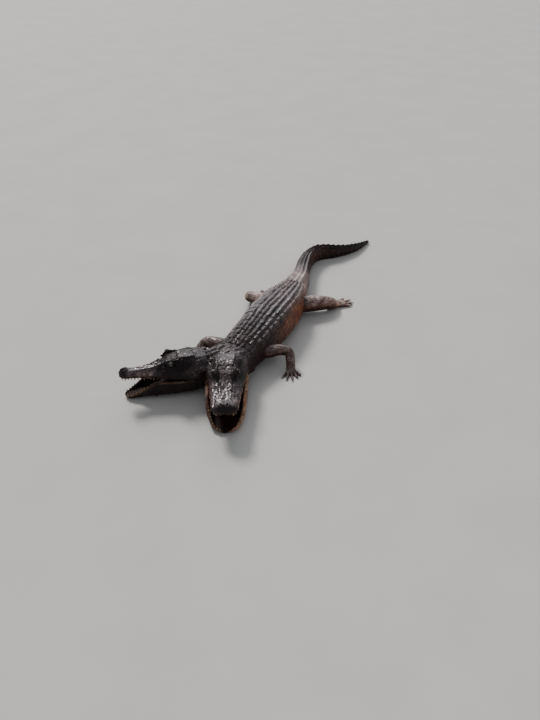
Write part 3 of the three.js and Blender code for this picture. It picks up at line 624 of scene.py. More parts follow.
class Neighbours:
    """Means over each point's neighbours."""

    def __init__(self, edges, count):
        self.count = count
        self.a = np.concatenate([edges[:, 0], edges[:, 1]])
        self.b = np.concatenate([edges[:, 1], edges[:, 0]])
        self.degree = np.maximum(np.bincount(self.a, minlength=count), 1)

    def mean(self, values):
        if values.ndim == 1:
            return np.bincount(self.a, values[self.b], self.count) / self.degree
        return np.stack([self.mean(values[:, k]) for k in range(values.shape[1])], -1)

    def smooth(self, values, rounds, share=0.6):
        for _ in range(rounds):
            values = values + share * (self.mean(values) - values)
        return values


def hashed(cells, seed):
    """Three even random numbers for each whole-number cell."""
    x, y, z = (cells[..., k].astype(np.uint64) for k in range(3))
    value = x * np.uint64(73856093) ^ y * np.uint64(19349663) ^ z * np.uint64(83492791) ^ np.uint64(seed
        * 7919)
    numbers = []
    for k in range(3):
        value = value * np.uint64(6364136223846793005) + np.uint64(1442695040888963407 + k)
        numbers.append(((value >> np.uint64(33)) & np.uint64(0xFFFFFF)).astype(float) / 0x1000000)
    return np.stack(numbers, -1)


def soft_noise(points, size, seed):
    """Smooth noise from -1 to 1 with lumps of about that size."""
    spot = points / size + 1000
    base = np.floor(spot)
    w = spot - base
    w = w * w * (3 - 2 * w)
    total = np.zeros(len(points))
    for i in (0, 1):
        for j in (0, 1):
            for k in (0, 1):
                corner = hashed(base + np.array([i, j, k]), seed)[:, 0]
                weight = (w[:, 0] if i else 1 - w[:, 0]) * (w[:, 1] if j else 1 - w[:, 1]) * (w[:, 2] if k
                    else 1 - w[:, 2])
                total += corner * weight
    return total * 2 - 1


def build_shell():
    shell = Shell()
    claws = []
    at = np.concatenate([np.arange(0, 1360, 5.0), [1360, 1364, 1366]])
    angle = np.arange(88) / 88 * 2 * math.pi
    rings = body_point(at[:, None] + 0 * angle[None], angle[None] + 0 * at[:, None])
    rings[..., 2] = np.maximum(rings[..., 2], FLOOR)
    shell.rings(rings, BODY_REGION, 0, at)
    for owner, which in enumerate(HEADS):
        rings = neck_rings(which)
        shell.rings(rings, NECK_REGION, owner, np.linspace(0, 1, len(rings)))
        head_parts(which, shell)
    for owner, name in enumerate(LIMBS):
        share = np.linspace(0.0, 1, 44)
        rings = limb_rings(name, share)[0]
        shell.rings(rings, LIMB_REGION, owner, share)
        foot_parts(name, shell, claws)
    return shell, claws


shell, claw_paths = build_shell()
base = new_object("base_shell", np.vstack(shell.points), shell.faces)
remesh = base.modifiers.new("union", "REMESH")
remesh.mode = "VOXEL"
remesh.voxel_size = VOXEL * MM
remesh.adaptivity = 0
remeshed = bpy.data.meshes.new_from_object(base.evaluated_get(bpy.context.evaluated_depsgraph_get()))
bpy.data.objects.remove(base)
skin_points = read(remeshed.vertices, "co", 3).astype(float) / MM
skin_links = Neighbours(read(remeshed.edges, "vertices", 2, np.int32), len(skin_points))
for _ in range(SMOOTH_ROUNDS):
    skin_points = skin_links.smooth(skin_points, 1, 0.55)
    skin_points = skin_links.smooth(skin_points, 1, -0.57)

# What part of the animal each point of the skin belongs to
shell_region = np.concatenate(shell.region)
shell_owner = np.concatenate(shell.owner)
shell_along = np.concatenate(shell.along)
tree = search_tree(np.vstack(shell.points))
nearest = np.array([tree.find(p)[1] for p in skin_points])
region = shell_region[nearest]
owner = shell_owner[nearest]
along = shell_along[nearest]


def worley(points, size, seed):
    """Distances, in cells, to the nearest and second nearest of scattered points."""
    spot = points / size + 1000
    base = np.floor(spot)
    first = np.full(len(points), 9.0)
    second = np.full(len(points), 9.0)
    for i in (-1, 0, 1):
        for j in (-1, 0, 1):
            for k in (-1, 0, 1):
                cell = base + np.array([i, j, k])
                reach = np.linalg.norm(cell + hashed(cell, seed) - spot, axis=1)
                nearer = reach < first
                second = np.where(nearer, first, np.minimum(second, reach))
                first = np.where(nearer, reach, first)
    return first, second


def body_local(points, at):
    """Distance along the backbone, offset to the animal's left and height share of points near it."""
    for _ in range(2):
        origin, direction, side = backbone(at)
        offset = points - origin
        at = at + (offset * direction).sum(-1)
    across = (offset * side).sum(-1)
    top = size_at(BODY, TOP, at)
    belly = np.maximum(size_at(BODY, BELLY, at), 0)
    return at, across, (points[:, 2] - belly) / np.maximum(top - belly, 1)


def mesh_normals(points):
    remeshed.vertices.foreach_set("co", (points * MM).astype(np.float32).ravel())
    remeshed.update()
    return read(remeshed.vertex_normals, "vector", 3).astype(float)


normals = mesh_normals(skin_points)
count = len(skin_points)
MASKS = ("grey", "warm", "maroon", "pale", "lip", "belly", "speck", "mouth", "dark")
masks = {name: np.zeros(count) for name in MASKS}
relief = np.zeros(count)
angle_round = np.zeros(count)


def mark(pick, **amounts):
    for name, amount in amounts.items():
        masks[name][pick] = amount


def members(kind, number=None):
    """The skin's points of a region, or of one head's share of it."""
    return np.nonzero((region == kind) & (True if number is None else owner == number))[0]


# Trunk and tail
pick = members(BODY_REGION)
at, across, share = body_local(skin_points[pick], along[pick])
along[pick] = at
angle_round[pick] = np.arctan2(share - 0.42, across / np.maximum(size_at(BODY, HALF, at), 1))
front = fade(at, 80, 260)
maroon = front * fade(share, 0.5, 0.85) + 0.6 * ramp(at, 560, 760) * fade(share, 0.62, 0.85)
maroon = np.maximum(maroon, 0.75 * bell(at, 950, 110))
flank_height = 0.32 + 0.18 * ramp(at, 150, 330)
mark(
    pick,
    warm=2.0 * bell(share, flank_height, 0.27) * ramp(at, 60, 200) * (0.5 + 0.5 * ramp(at, 160, 380))
    * (1 - 0.8 * ramp(at, 520, 660)),
    maroon=maroon,
    # Tail base: a pale painted highlight on its upper sides, with some pinkish tone of its own
    pale=bell(at, 620, 95) * ramp(share, 0.25, 0.7) + 0.2 * bell(at, 710, 60) * ramp(share, 0.25, 0.6),
    belly=fade(share, 0.04, 0.16),
    # Top of the back: a grey painted sheen, weaker in front and toward the tail's end
    grey=ramp(share, 0.7, 0.93) * (1 - 0.45 * front) * (1 - 0.7 * ramp(at, 720, 880)),
    dark=0.6 * bell(at, 825, 85) + 0.75 * ramp(at, 900, 1080) + 0.35 * maroon * (at < 300) + 0.3 * front,
)

# Necks
pick = members(NECK_REGION)
height = skin_points[pick, 2]
mark(
    pick,
    maroon=fade(height, 60, 100),
    # Top of the neck: a grey painted sheen
    grey=0.8 * ramp(height, 80, 110),
    belly=0.4 * fade(height, 18, 34),
    dark=0.5,
)
folds = np.sin(along[pick] * 26 + 1.2 * np.sin(height / 14))
relief[pick] = 1.3 * folds * fade(height, 60, 100)


def head_places(kind, which, matrix, stations):
    """A head part's points in its own directions, which way they face, and how wide the part is there."""
    pick = members(kind, list(HEADS).index(which))
    spots = skin_points[pick]
    a, o, h = local_to(matrix, spots).T
    along[pick] = a
    angle_round[pick] = np.arctan2(h - 20 if kind == SKULL_REGION else h + 20, o)
    half = size_at(stations, WIDTH_OF[which], a)
    return pick, spots, (normals[pick] @ matrix[0].T).T, a, o, h, half


# Heads
for which in HEADS:
    slim = which == "right"
    pick, spots, facing, a, o, h, half = head_places(SKULL_REGION, which, upper_matrix(which), SKULL)
    side = np.abs(o)
    palate = ramp(-facing[2], 0.25, 0.6) * fade(side, 0.8 * half, 0.93 * half)
    mouth = palate * ramp(a, 0, 22) * fade(h, 9, 14)
    outside = 1 - mouth
    # Bone under tight dry skin: lumps, and hollows round the eyes, behind them and down the snout
    lumps = 1.4 * soft_noise(spots, 14, 11) + 0.8 * soft_noise(spots, 6.5, 12)
    raised = (lumps + 0.5 * soft_noise(spots, 3.4, 16)) * ramp(h, 12, 26)
    wrinkles = soft_noise(np.column_stack([a / 4.5, o, h]), 4.2, 17)
    raised += 1.1 * wrinkles * outside * ramp(a, 40, 110)
    raised *= 1 - 0.85 * bell(np.hypot(np.hypot(a - 116, h - 54), side - 36), 0, 21)
    temple = bell(a, 68, 30) * bell(side, 51, 10) * ramp(h, 30, 44)
    before = bell(a, 149, 15) * bell(side, 27, 9) * ramp(h, 20, 40)
    furrow = bell(side, 0.72 * half, 5) * bell(a, 205, 45) * ramp(h, 12, 20)
    middle = bell(side, 0, 5) * bell(a, 190, 60) * ramp(h, 20, 30)
    raised -= 7.0 * temple + 4.0 * before + 1.8 * furrow + 1.4 * middle
    raised += 1.6 * bell(h, 14.5, 3) * ramp(a, 110, 150) * ramp(side, 0.6 * half, 0.8 * half)
    # Nostrils: a pit with a raised rim on each side of the nose pad; an ear slit under the table's edge
    nose_half = one_size(SKULL, WIDTH_OF[which], NOSE[0])
    span = np.hypot((a - 281) / 6.5, (side - 0.26 * nose_half) / 3.4)
    raised += ramp(h, 20, 26) * (1.8 * bell(span, 1.35, 0.5) - 6.0 * bell(span, 0, 0.75))
    roof = one_size(SKULL, ROOF_SHARE, 66) * one_size(SKULL, WIDTH_OF[which], 66)
    raised -= 4.0 * bell(a, 66, 15) * bell(side, roof + 2.5, 2.2) * bell(h, 62, 9)
    # Palate: faint cross ridges and the long middle groove
    relief[pick] = raised + mouth * (0.8 * np.sin(a / 2.6) - 2.0 * bell(o, 0, 4))
    snout = ramp(a, 130, 165)
    # Upward faces and the snout above the lip painted lighter: a grey painted sheen
    upright = ramp(facing[2], 0.1, 0.6) * (0.4 + 0.35 * snout)
    # Painted shade: the eye hollows, the hollows behind and before the eyes, the front of the nose pad,
    # and head B's crown and lower face are painted darker
    orbit_shade = bell(np.hypot(a - 118, (h - 50) * 1.1), 0, 29) * ramp(side, 15, 25)
    orbit_shade = orbit_shade * (1 - 0.6 * ramp(facing[2], 0.5, 0.85))
    nose_front_shade = ramp(a, 264, 280) * (1 - 0.3 * ramp(facing[2], 0.8, 0.95))
    under = 0.75 * fade(h, 9, 15) * outside if slim else 0.0
    crown_shade = bell(a, 126, 42) if slim else 0.0
    dark = crown_shade + 1.1 * temple + 0.9 * before + orbit_shade + 1.1 * nose_front_shade + under + 0.35 * bell(a, 95, 60)
    # Raised wrinkles painted lighter: a pale painted highlight streaking the snout's side
    streaks = outside * ramp(wrinkles, -0.1, 0.35)
    mark(
        pick,
        mouth=mouth,
        lip=outside * bell(h, 5.0, 5.0) * ramp(a, 35, 80) * (0.3 if slim else 0.8),
        # Light specks over the head's upper parts: painted glints
        speck=ramp(h, 10, 22),
        grey=np.maximum(upright, (1.0 if slim else 0.75) * snout * ramp(h, 8, 13)),
        maroon=0.7 * bell(h, 14, 8) * outside * ramp(a, 60, 100),
        pale=streaks * (0.9 * bell(a, 208, 50) * bell(h, 17, 10) if slim else 0.3 * bell(a, 240, 30)),
        dark=np.clip(dark, 0, 1),
    )
    pick, spots, facing, a, o, h, half = head_places(JAW_REGION, which, lower_matrix(which), JAW)
    lip = size_at(JAW, JAW_LIP, a)
    inward = np.maximum(facing[2], -np.sign(o) * facing[1])
    rim = np.where((o > 0) | slim, 0.0, 0.06) + (0.84 if slim else 0.71)
    mouth = ramp(inward, -0.2, 0.25) * fade(np.abs(o) / half, rim, rim + 0.09) * ramp(a, 0, 22)
    mouth = mouth * ramp(h, -24, -16)
    outside = 1 - mouth
    # lit: the lip band painted brighter on head A's left side, dimmer on its right and on head B, a
    # painted light and shade
    lit = 0.6 if slim else np.where(o > 0, 1.4, 0.5)
    streaks = 0.72 + 0.28 * np.sin(h * 0.9 + 0.05 * a + 3 * soft_noise(spots, 30, 15))
    band = bell(h, lip - 1, 3) if slim else ramp(h, -20, -8) * streaks
    wrinkles = soft_noise(np.column_stack([a / 5, o, h]), 4.6, 18)
    # A pale painted highlight along raised wrinkles of head B's jaw side
    line = 0.4 * outside * ramp(wrinkles, 0.15, 0.55) * bell(h, lip - 8, 9) * bell(a, 190, 80)
    mark(
        pick,
        mouth=mouth,
        lip=outside * band * ramp(a, 5, 50) * lit,
        belly=fade(h, -38, -24) * 0.35,
        maroon=0.8 * outside * bell(h, -18, 14),
        # Light specks over the jaw's outside: painted glints
        speck=0.4 * outside,
        pale=line if slim else 0.0,
        # Painted shade: head B's jaw side near-black away from the lip band, and head A's jaw darker on
        # its right side
        dark=outside * (0.88 * (1 - 0.55 * bell(h, lip - 1, 3)) if slim else np.where(o > 0, 0.0, 0.25)),
    )
    # Long furrows along the jaw's side
    raised = outside * soft_noise(spots, 9, 13) * 0.8
    for depth, drop in ((1.8, -11), (1.3, -19)):
        raised -= outside * depth * bell(h, drop - 0.03 * a, 2.0) * ramp(a, 50, 90)
    raised += 1.2 * outside * wrinkles
    relief[pick] = raised + mouth * soft_noise(spots, 11, 14) * 0.8

# Limbs and feet: how strong the pale painted highlight is on the top and on the foot, and how warm the
# side is; the downward faces get maroon and painted shade
LIMB_TONES = {
    "left_fore": (0.3, 0.25, 0.25), "right_fore": (0.3, 0.3, 0.1), "left_hind": (1.1, 1.0, 1.0),
    "right_hind": (1.4, 0.6, 0.3),
}
for index, name in enumerate(LIMBS):
    pick = np.nonzero(np.isin(region, (LIMB_REGION, FOOT_REGION)) & (owner == index))[0]
    upward = normals[pick, 2]
    foot = region[pick] == FOOT_REGION
    top, toes, warm = LIMB_TONES[name]
    mark(
        pick,
        # Painted light by facing: a pale painted highlight and grey painted sheen on upward faces, painted
        # shade on downward faces
        pale=np.where(foot, toes, top * ramp(along[pick], 0.1, 0.35)) * ramp(upward, -0.1, 0.5),
        warm=np.where(foot, 0.3, 1.0) * warm * fade(upward, 0.1, 0.6),
        maroon=np.where(foot, 0.3, 0.75) * fade(upward, -0.1, 0.5),
        grey=0.5 * ramp(upward, 0.3, 0.8),
        dark=np.where(foot, 0.25, 0.75) * fade(upward, -0.2, 0.35),
    )
    if name == "left_hind":
        mark(pick, lip=0.7 * bell(along[pick], 0.9, 0.16) * fade(upward, 0.2, 0.8) * (1 - foot))
    relief[pick] = 1.1 * soft_noise(skin_points[pick], 17, 41) * ramp(upward, 0.0, 0.5)
    angle_round[pick] = np.arctan2(upward, normals[pick, 0])

for name in masks:
    masks[name] = np.clip(skin_links.smooth(masks[name], 3), 0, 1)
relief = skin_links.smooth(relief, 1, 0.4)
relief += soft_noise(skin_points, 70, 3) * 1.2 + soft_noise(skin_points, 22, 4) * 0.5
fine_first, fine_second = worley(skin_points, 5.2, 5)
cell_edge = ramp(fine_second - fine_first, 0.02, 0.3)
cell_depth = np.array([0.35, 0.5, 0.45, 0.4, 0.4, 0.35])[region]
relief += (cell_edge - 0.7) * cell_depth * (1 - 0.8 * masks["mouth"])
groove = (1 - cell_edge) * 0.8
skin_points = skin_points + normals * relief[:, None]

# Eye openings: the skin inside each almond goes in behind the eyeball
for which in HEADS:
    for hand in (1, -1):
        eye = place(upper_matrix(which), eye_spot(which, hand)[1])
        axes, _ = upper_matrix(which)
        offset = (skin_points - eye) @ axes.T
        reach = np.linalg.norm(offset, axis=1)
        near = reach < EYE_RADIUS + 9
        look, level, rise = eye_axes(hand)
        ahead = np.maximum(offset @ look, 1e-6)
        almond = np.hypot((offset @ level) / ahead / 0.70, (offset @ rise) / ahead / 0.40)
        inside = near & (offset @ look > 0) & (almond < 1)
        sunk = unit(offset[inside]) * (EYE_RADIUS - 3.5)
        skin_points[inside] = eye + sunk @ axes
skin_points[:, 2] = np.maximum(skin_points[:, 2], FLOOR * 0.5)
normals = mesh_normals(skin_points)

# Where each region's charts start on the unwrap, and the length that fills one, in the regions' order
CHART = np.array([0, 1, 3, 5, 7, 11])
CHART_LENGTH = np.array([TAIL_END, 1, 300, 300, 1, 1])


def unwrap_places(chosen):
    """Where points of the skin lie on its unwrap: the trunk and tail above, the rest in two rows below."""
    kind = region[chosen]
    number = CHART[kind] + np.where(kind == BODY_REGION, 0, owner[chosen])
    u = np.clip(along[chosen] / CHART_LENGTH[kind], 0, 1)
    v = (angle_round[chosen] + math.pi) / (2 * math.pi)
    column = (number - 1) % 7
    row = (number - 1) // 7
    small = np.stack([(column + 0.03 + 0.94 * u) / 7, 0.4 + row * 0.3 + 0.01 + 0.28 * v], -1)
    large = np.stack([0.01 + 0.98 * u, 0.01 + 0.38 * v], -1)
    return np.where((kind == BODY_REGION)[:, None], large, small)


skin_tree = search_tree(skin_points)


def give(mesh, name, values):
    attribute = mesh.attributes.new(name, "FLOAT", "POINT")
    attribute.data.foreach_set("value", np.asarray(values, np.float32))


def finish_mesh(mesh):
    mesh.polygons.foreach_set("use_smooth", np.ones(len(mesh.polygons), bool))
    mesh.update()


skin_mesh = remeshed
skin_mesh.name = "skin"
for name, values in masks.items():
    give(skin_mesh, name, values)
give(skin_mesh, "groove", groove)
give(skin_mesh, "keel", np.zeros(count))
give(skin_mesh, "shade", 0.5 + 0.5 * soft_noise(skin_points, 9, 21))
finish_mesh(skin_mesh)
skin = bpy.data.objects.new("skin", skin_mesh)
bpy.context.scene.collection.objects.link(skin)


# Plates: a shape of its own for each kind, as x, y, height and how far it sinks
def plate_shape(cells, keel, dome, corner, rise, thin=1.4):
    """A grid with a skirt: a dome and a ridge that follows the rise given along it."""
    t = np.linspace(-1, 1, cells)
    x, y = (v.ravel() for v in np.meshgrid(t, t, indexing="ij"))
    ridge = np.maximum(0, 1 - np.abs(y) / 0.6) ** thin
    height = dome * np.sqrt((1 - x**8) * (1 - y**4)) + keel * ridge * np.interp(x, *rise)
    px = x * np.sqrt(1 - corner * y**2 / 2)
    py = y * np.sqrt(1 - corner * x**2 / 2)
    top = np.stack([px, py, height, np.zeros_like(px)], -1)
    last = cells - 1
    ring = [i * cells for i in range(last)] + [last * cells + j for j in range(last)]
    ring += [i * cells + last for i in range(last, 0, -1)] + [j for j in range(last, 0, -1)]
    skirt = top[ring] * [1, 1, 0, 0] + [0, 0, 0, 1]
    faces = [(a, a + cells, a + cells + 1, a + 1) for i in range(last)
        for a in range(i * cells, i * cells + last)]
    first, size = len(top), len(ring)
    faces += [(ring[k], first + k, first + (k + 1) % size, ring[(k + 1) % size]) for k in range(size)]
    faces.append(tuple(first + k for k in range(size))[::-1])
    return np.vstack([top, skirt]), faces


def pebble_shape(sides, rows):
    turn = np.arange(sides) / sides * 2 * math.pi
    points = [[0, 0, rows[0][1], 0]]
    faces = [(0, 1 + k, 1 + (k + 1) % sides) for k in range(sides)]
    for i, (radius, height, sink) in enumerate(rows):
        points += [[radius * math.cos(t), radius * math.sin(t), height, sink] for t in turn]
        if i:
            a = 1 + (i - 1) * sides
            faces += [(a + k, a + sides + k, a + sides + (k + 1) % sides, a + (k + 1) % sides)
                for k in range(sides)]
    faces.append(tuple(1 + (len(rows) - 1) * sides + k for k in range(sides))[::-1])
    return np.array(points, float), faces


STEADY = ([-1, -0.8, 0.3, 0.85, 1], [0.45, 0.78, 1, 0.95, 0.5])
SAWTOOTH = ([-1, -0.4, 0.3, 0.8, 1], [0.84, 0.88, 0.95, 1.0, 0.82])
SHAPES = {
    "keeled": plate_shape(9, 0.8, 0.3, 0.3, STEADY),
    "low": plate_shape(6, 0.25, 0.8, 0.6, STEADY),
    "flat": plate_shape(6, 0.12, 0.9, 0.25, STEADY),
    "blade": plate_shape(9, 1.0, 0.05, 0.2, SAWTOOTH, 0.8),
    "pebble": pebble_shape(8, [(0.6, 0.95, 0), (0.93, 0.3, 0), (1.0, 0, 1)]),
    "smooth": pebble_shape(7, [(0.7, 1, 0), (0.95, 0.5, 0), (1.0, 0, 1)]),
}


SNUG = 4.0
# How much lighter each kind's ridge tops are: partly wear, partly a painted highlight
KEEL_WEAR_AND_HIGHLIGHT = {"keeled": 1.0, "blade": 0.7, "low": 0.5, "flat": 0.4, "pebble": 0.1, "smooth": 0.25}
RUGGED = {"keeled": 0.8, "blade": 0.4, "low": 0.3, "flat": 0.35, "pebble": 0.0, "smooth": 0.0}


class Coat:
    """Plates of one kind, each set on the skin with its own size, joined into one piece."""

    def __init__(self, name, kind):
        self.name = name
        self.kind = kind
        self.rows = []

    def add(self, root, along_way, across_way, out, length, width, height, sink, bend=0.0):
        self.rows.append(np.concatenate([root, along_way, across_way, out,
            [length, width, height, sink, bend]]))

    def build(self, wobble=0.0):
        table = np.array(self.rows)
        profile, faces = SHAPES[self.kind]
        root, ahead, aside, out = (table[:, k:k + 3] for k in (0, 3, 6, 9))
        nearest_skin = np.array([skin_tree.find(p)[1] for p in root])
        lift = ((skin_points[nearest_skin] - root) * out).sum(-1, keepdims=True)
        root = root + out * np.clip(lift, -SNUG, SNUG)
        length, width, height, sink, bend = (table[:, k, None] for k in range(12, 17))
        x = profile[None, :, 0] * length / 2
        y = profile[None, :, 1] * width / 2
        if wobble:
            noise = 1 + wobble * (RNG.random((len(table), len(profile))) - 0.5)
            x = x * noise
            y = y * noise
        z = profile[None, :, 2] * height - profile[None, :, 3] * sink - bend * y**2
        points = (
            root[:, None] + ahead[:, None] * x[..., None] + aside[:, None] * y[..., None] + out[:, None]
            * z[..., None]
        )
        rough = soft_noise(points.reshape(-1, 3), 4.5,
            33).reshape(points.shape[:2]) * (profile[None, :, 3] == 0)
        points = points + out[:, None] * (rough * RUGGED[self.kind])[..., None]
        points[..., 2] = np.maximum(points[..., 2], FLOOR * 0.5)
        size = len(profile)
        starts = np.arange(len(table)) * size
        every = [tuple(int(v) + int(s) for v in face) for s in starts for face in faces]
        thing = new_object(self.name, points.reshape(-1, 3), every)
        mesh = thing.data
        for name, values in masks.items():
            give(mesh, name, np.repeat(values[nearest_skin], size))
        rim = np.clip(1 - profile[:, 2] / 0.3, 0, 1)
        if self.kind == "keeled":
            rim = np.maximum(rim * 0.5, ramp(np.abs(profile[:, 1]), 0.55, 0.9))
        give(mesh, "groove", np.tile(rim, len(table)) * 0.8)
        # Ridge tops lighter: partly wear, partly a painted highlight
        keel = np.clip((profile[:, 2] - 0.5) / 0.4, 0, 1) * KEEL_WEAR_AND_HIGHLIGHT[self.kind]
        give(mesh, "keel", np.tile(keel, len(table)))
        give(mesh, "shade", np.repeat(RNG.random(len(table)), size))
        uv = mesh.uv_layers.new(name="OFBake")
        corner = read(mesh.loops, "vertex_index", 1, np.int32)
        spread = np.tile(profile[:, :2] * 0.0015, (len(table), 1))
        places = np.repeat(unwrap_places(nearest_skin), size, axis=0) + spread
        uv.data.foreach_set("uv", np.clip(places, 0, 1)[corner].astype(np.float32).ravel())
        finish_mesh(mesh)
        return thing


def back_spot(at, share):
    """A place on the back by its share of the half width, with its directions along, across and out."""

    def spot(portion):
        half, top, belly, square = (one_size(BODY, c, at) for c in (HALF, TOP, BELLY, SQUARE))
        cosine = abs(portion) ** (1 / square)
        sine = math.sqrt(max(0.0, 1 - cosine * cosine))
        middle = belly + 0.42 * (top - belly)
        return portion * half, middle + (top - middle) * sine**square

    origin, direction, side = (v for v in backbone(at))
    a, b = spot(share)
    a1, b1 = spot(share + 0.02)
    root = origin + side * a + np.array([0, 0, b])
    across = unit(side * (a1 - a) + np.array([0, 0, b1 - b]))
    out = unit(np.cross(across, direction))
    if out[2] < 0:
        out = -out
    return root, direction, across, out


def flank_spot(at, angle):
    root = body_point(np.array([at]), np.array([angle]))[0]
    ahead = unit(body_point(np.array([at + 2.0]), np.array([angle]))[0] - root)
    across = unit(body_point(np.array([at]), np.array([angle + 0.02]))[0] - root)
    out = unit(np.cross(ahead, across))
    if out @ (root - np.append(backbone(at)[0][:2], 50)) < 0:
        out = -out
    return root, ahead, across, out


def turned(ahead, across, degrees):
    t = math.radians(degrees)
    return ahead * math.cos(t) + across * math.sin(t), across * math.cos(t) - ahead * math.sin(t)


def jitter(spread):
    return 1 + spread * (RNG.random() - 0.5) * 2


# Scutes of the back: rows of four a side, fewer in front, whose keels run on as long ridges
back = Coat("scutes_back", "keeled")
ROWS = 19
COLUMNS = ((0.11, 0.215, 6.4), (0.335, 0.225, 7.0), (0.555, 0.21, 6.4), (0.75, 0.17, 4.8))
pitch = (TRUNK_END - 8) / ROWS
for row in range(ROWS):
    half = one_size(BODY, HALF, 12 + pitch * (row + 0.5))
    for share, wide, ridge in COLUMNS[:2 + row]:
        for hand in (1, -1):
            at = 12 + pitch * (row + 0.5) + 6 * (RNG.random() - 0.5)
            root, ahead, across, out = back_spot(at, hand * (share + 0.03 * (RNG.random() - 0.5)))
            ahead, across = turned(ahead, across, 9 * (RNG.random() - 0.5))
            back.add(root, ahead, across, out, pitch * 1.12 * jitter(0.06), wide * half * 0.95
                * jitter(0.07),
                     ridge * 0.92 * jitter(0.17), 3.0, 0.004)

# Scutes of the tail's upper side, and its crests
CREST = [(560, 7, 0.5), (700, 8, 0.56), (830, 8, 0.6), (930, 8, 0.5), (1010, 8, 0.2), (1200, 7, 0),
    (1366, 3, 0)]
tail_scutes = Coat("scutes_tail", "keeled")
crests = Coat("tail_crests", "blade")
whorls = []
for start, end in ((560, 830), (830, 1096), (1096, 1366)):
    rows = round((end - start) / 26)
    pitch = (end - start) / rows
    whorls += [(start + pitch * (row + 0.5), pitch) for row in range(rows)]
for at, pitch in whorls:
    if at > BACKBONE_LENGTH - 16:
        continue
    half = one_size(BODY, HALF, at)
    high = one_size(CREST, 1, at) * jitter(0.1)
    spread = one_size(CREST, 2, at)
    thick = min(7.0, 0.7 * half)
    for hand in (1, -1) if at < 1010 else (0.0001,):
        place_of = back_spot(at, hand * spread if at < 1010 else hand)
        crests.add(*place_of, pitch * 1.12, thick + (12 if at < 700 else 4), high, 5.0, 0.0)
    if at < 985:
        for hand in (1, -1):
            tail_scutes.add(*back_spot(at, hand * 0.2), pitch * 1.1, 0.34 * half, 4.6 * jitter(0.15), 3.0,
                0.006)

# Scales of the flanks and the belly's edges, in rows that run slantwise
flanks = Coat("scales_flank", "low")
SIDE_PITCH = 14.0
for hand in (1, -1):
    for row, degrees in enumerate(np.linspace(41, -62, 13)):
        for step in range(int(548 / SIDE_PITCH)):
            at = 8 + SIDE_PITCH * (step + 0.5 * (row % 2)) + 4 * (RNG.random() - 0.5)
            angle = math.radians(degrees + 3 * (RNG.random() - 0.5))
            root, ahead, across, out = flank_spot(at, angle if hand > 0 else math.pi - angle)
            ahead, across = turned(ahead, across, 16 * (RNG.random() - 0.5))
            size = one_size(BODY, HALF, at) / 96
            flanks.add(root, ahead, across, out, 13.6 * jitter(0.16), 11.2 * size * jitter(0.16),
                       (1.3 if row > 8 else 2.0) * jitter(0.3), 1.6, 0.004)

# Scales round the tail
tail_sides = Coat("scales_tail", "flat")
for at, pitch in whorls:
    if at > BACKBONE_LENGTH - 40:
        continue
    half = one_size(BODY, HALF, at)
    tall = one_size(BODY, TOP, at)
    around = max(3, round((0.5 * half + 0.62 * tall) / 12.5))
    top_angle = 46 if at < 1010 else 66
    turn = math.radians((top_angle + 58) / (around - 1))
    for hand in (1, -1):
        for degrees in np.linspace(top_angle, -58, around):
            angle = math.radians(degrees) if hand > 0 else math.pi - math.radians(degrees)
            root, ahead, across, out = flank_spot(at, angle)
            gap = np.linalg.norm(flank_spot(at, angle + turn * hand)[0] - root)
            tail_sides.add(root, ahead, across, out, pitch * jitter(0.04), gap * 0.98, 1.3 * jitter(0.25),
                1.4, 0.008)

# Raised scutes on the napes: neck share, distance aside, length, width, height
nape = Coat("scutes_nape", "keeled")
NAPE = [(0.36, 18, 38, 33, 8), (0.66, 18, 38, 33, 8), (0.1, 14, 26, 24, 5), (0.5, 46, 26, 20, 5),
    (0.22, 42, 24, 18, 4),
        (0.8, 44, 22, 18, 4), (0.9, 13, 20, 20, 4)]
for which in HEADS:
    rings = neck_rings(which)
    for share, aside, long, wide, high in NAPE:
        i = round(share * (len(rings) - 1))
        centre = rings[i].mean(0)
        ahead = unit((rings[i - 1].mean(0) - centre) * np.array([1, 1, 0]))
        for hand in (1, -1):
            side = np.array([ahead[1], -ahead[0], 0]) * hand
            root = np.array(skin_tree.find(Vector(centre + side * aside + np.array([0, 0, 60.0])))[0])
            if root[2] < 95:
                continue
            out = unit(UP + 0.25 * side * aside / 40)
            across = unit(np.cross(out, ahead))
            nape.add(root, ahead, across, out, long * jitter(0.08), wide * jitter(0.08), high
                * jitter(0.1), 5.0, 0.002)


# Small scales: one at each of many points spread evenly over the skin
def spread_points(chosen, spacing):
    """Points kept from a shuffled list so that no two are nearer than their spacing."""
    near = search_tree(skin_points[chosen])
    free = np.ones(len(chosen), bool)
    kept = []
    for i in RNG.permutation(len(chosen)):
        if free[i]:
            kept.append(i)
            for _, j, _ in near.find_range(skin_points[chosen[i]], spacing[i]):
                free[j] = False
    return chosen[kept], spacing[kept]


def flow_of(chosen):
    """The lie of the scales at points of the skin: toward the tail, or down a limb."""
    kind = region[chosen]
    ahead = np.zeros((len(chosen), 3))
    for k, which in enumerate(HEADS):
        own = np.isin(kind, (SKULL_REGION, JAW_REGION, NECK_REGION)) & (owner[chosen] == k)
        ahead[own] = -head_matrix(which)[0][0]
    for k, name in enumerate(LIMBS):
        stations = np.array([s[:3] for s in LIMBS[name][0]], float)
        own = (kind == LIMB_REGION) & (owner[chosen] == k)
        share = np.clip(along[chosen][own], 0, 1)
        ahead[own] = unit(spline(stations, np.minimum(share + 0.02, 1))
            - spline(stations, np.maximum(share - 0.02, 0)))
        own = (kind == FOOT_REGION) & (owner[chosen] == k)
        ahead[own] = heading(LIMBS[name][1])
    return ahead


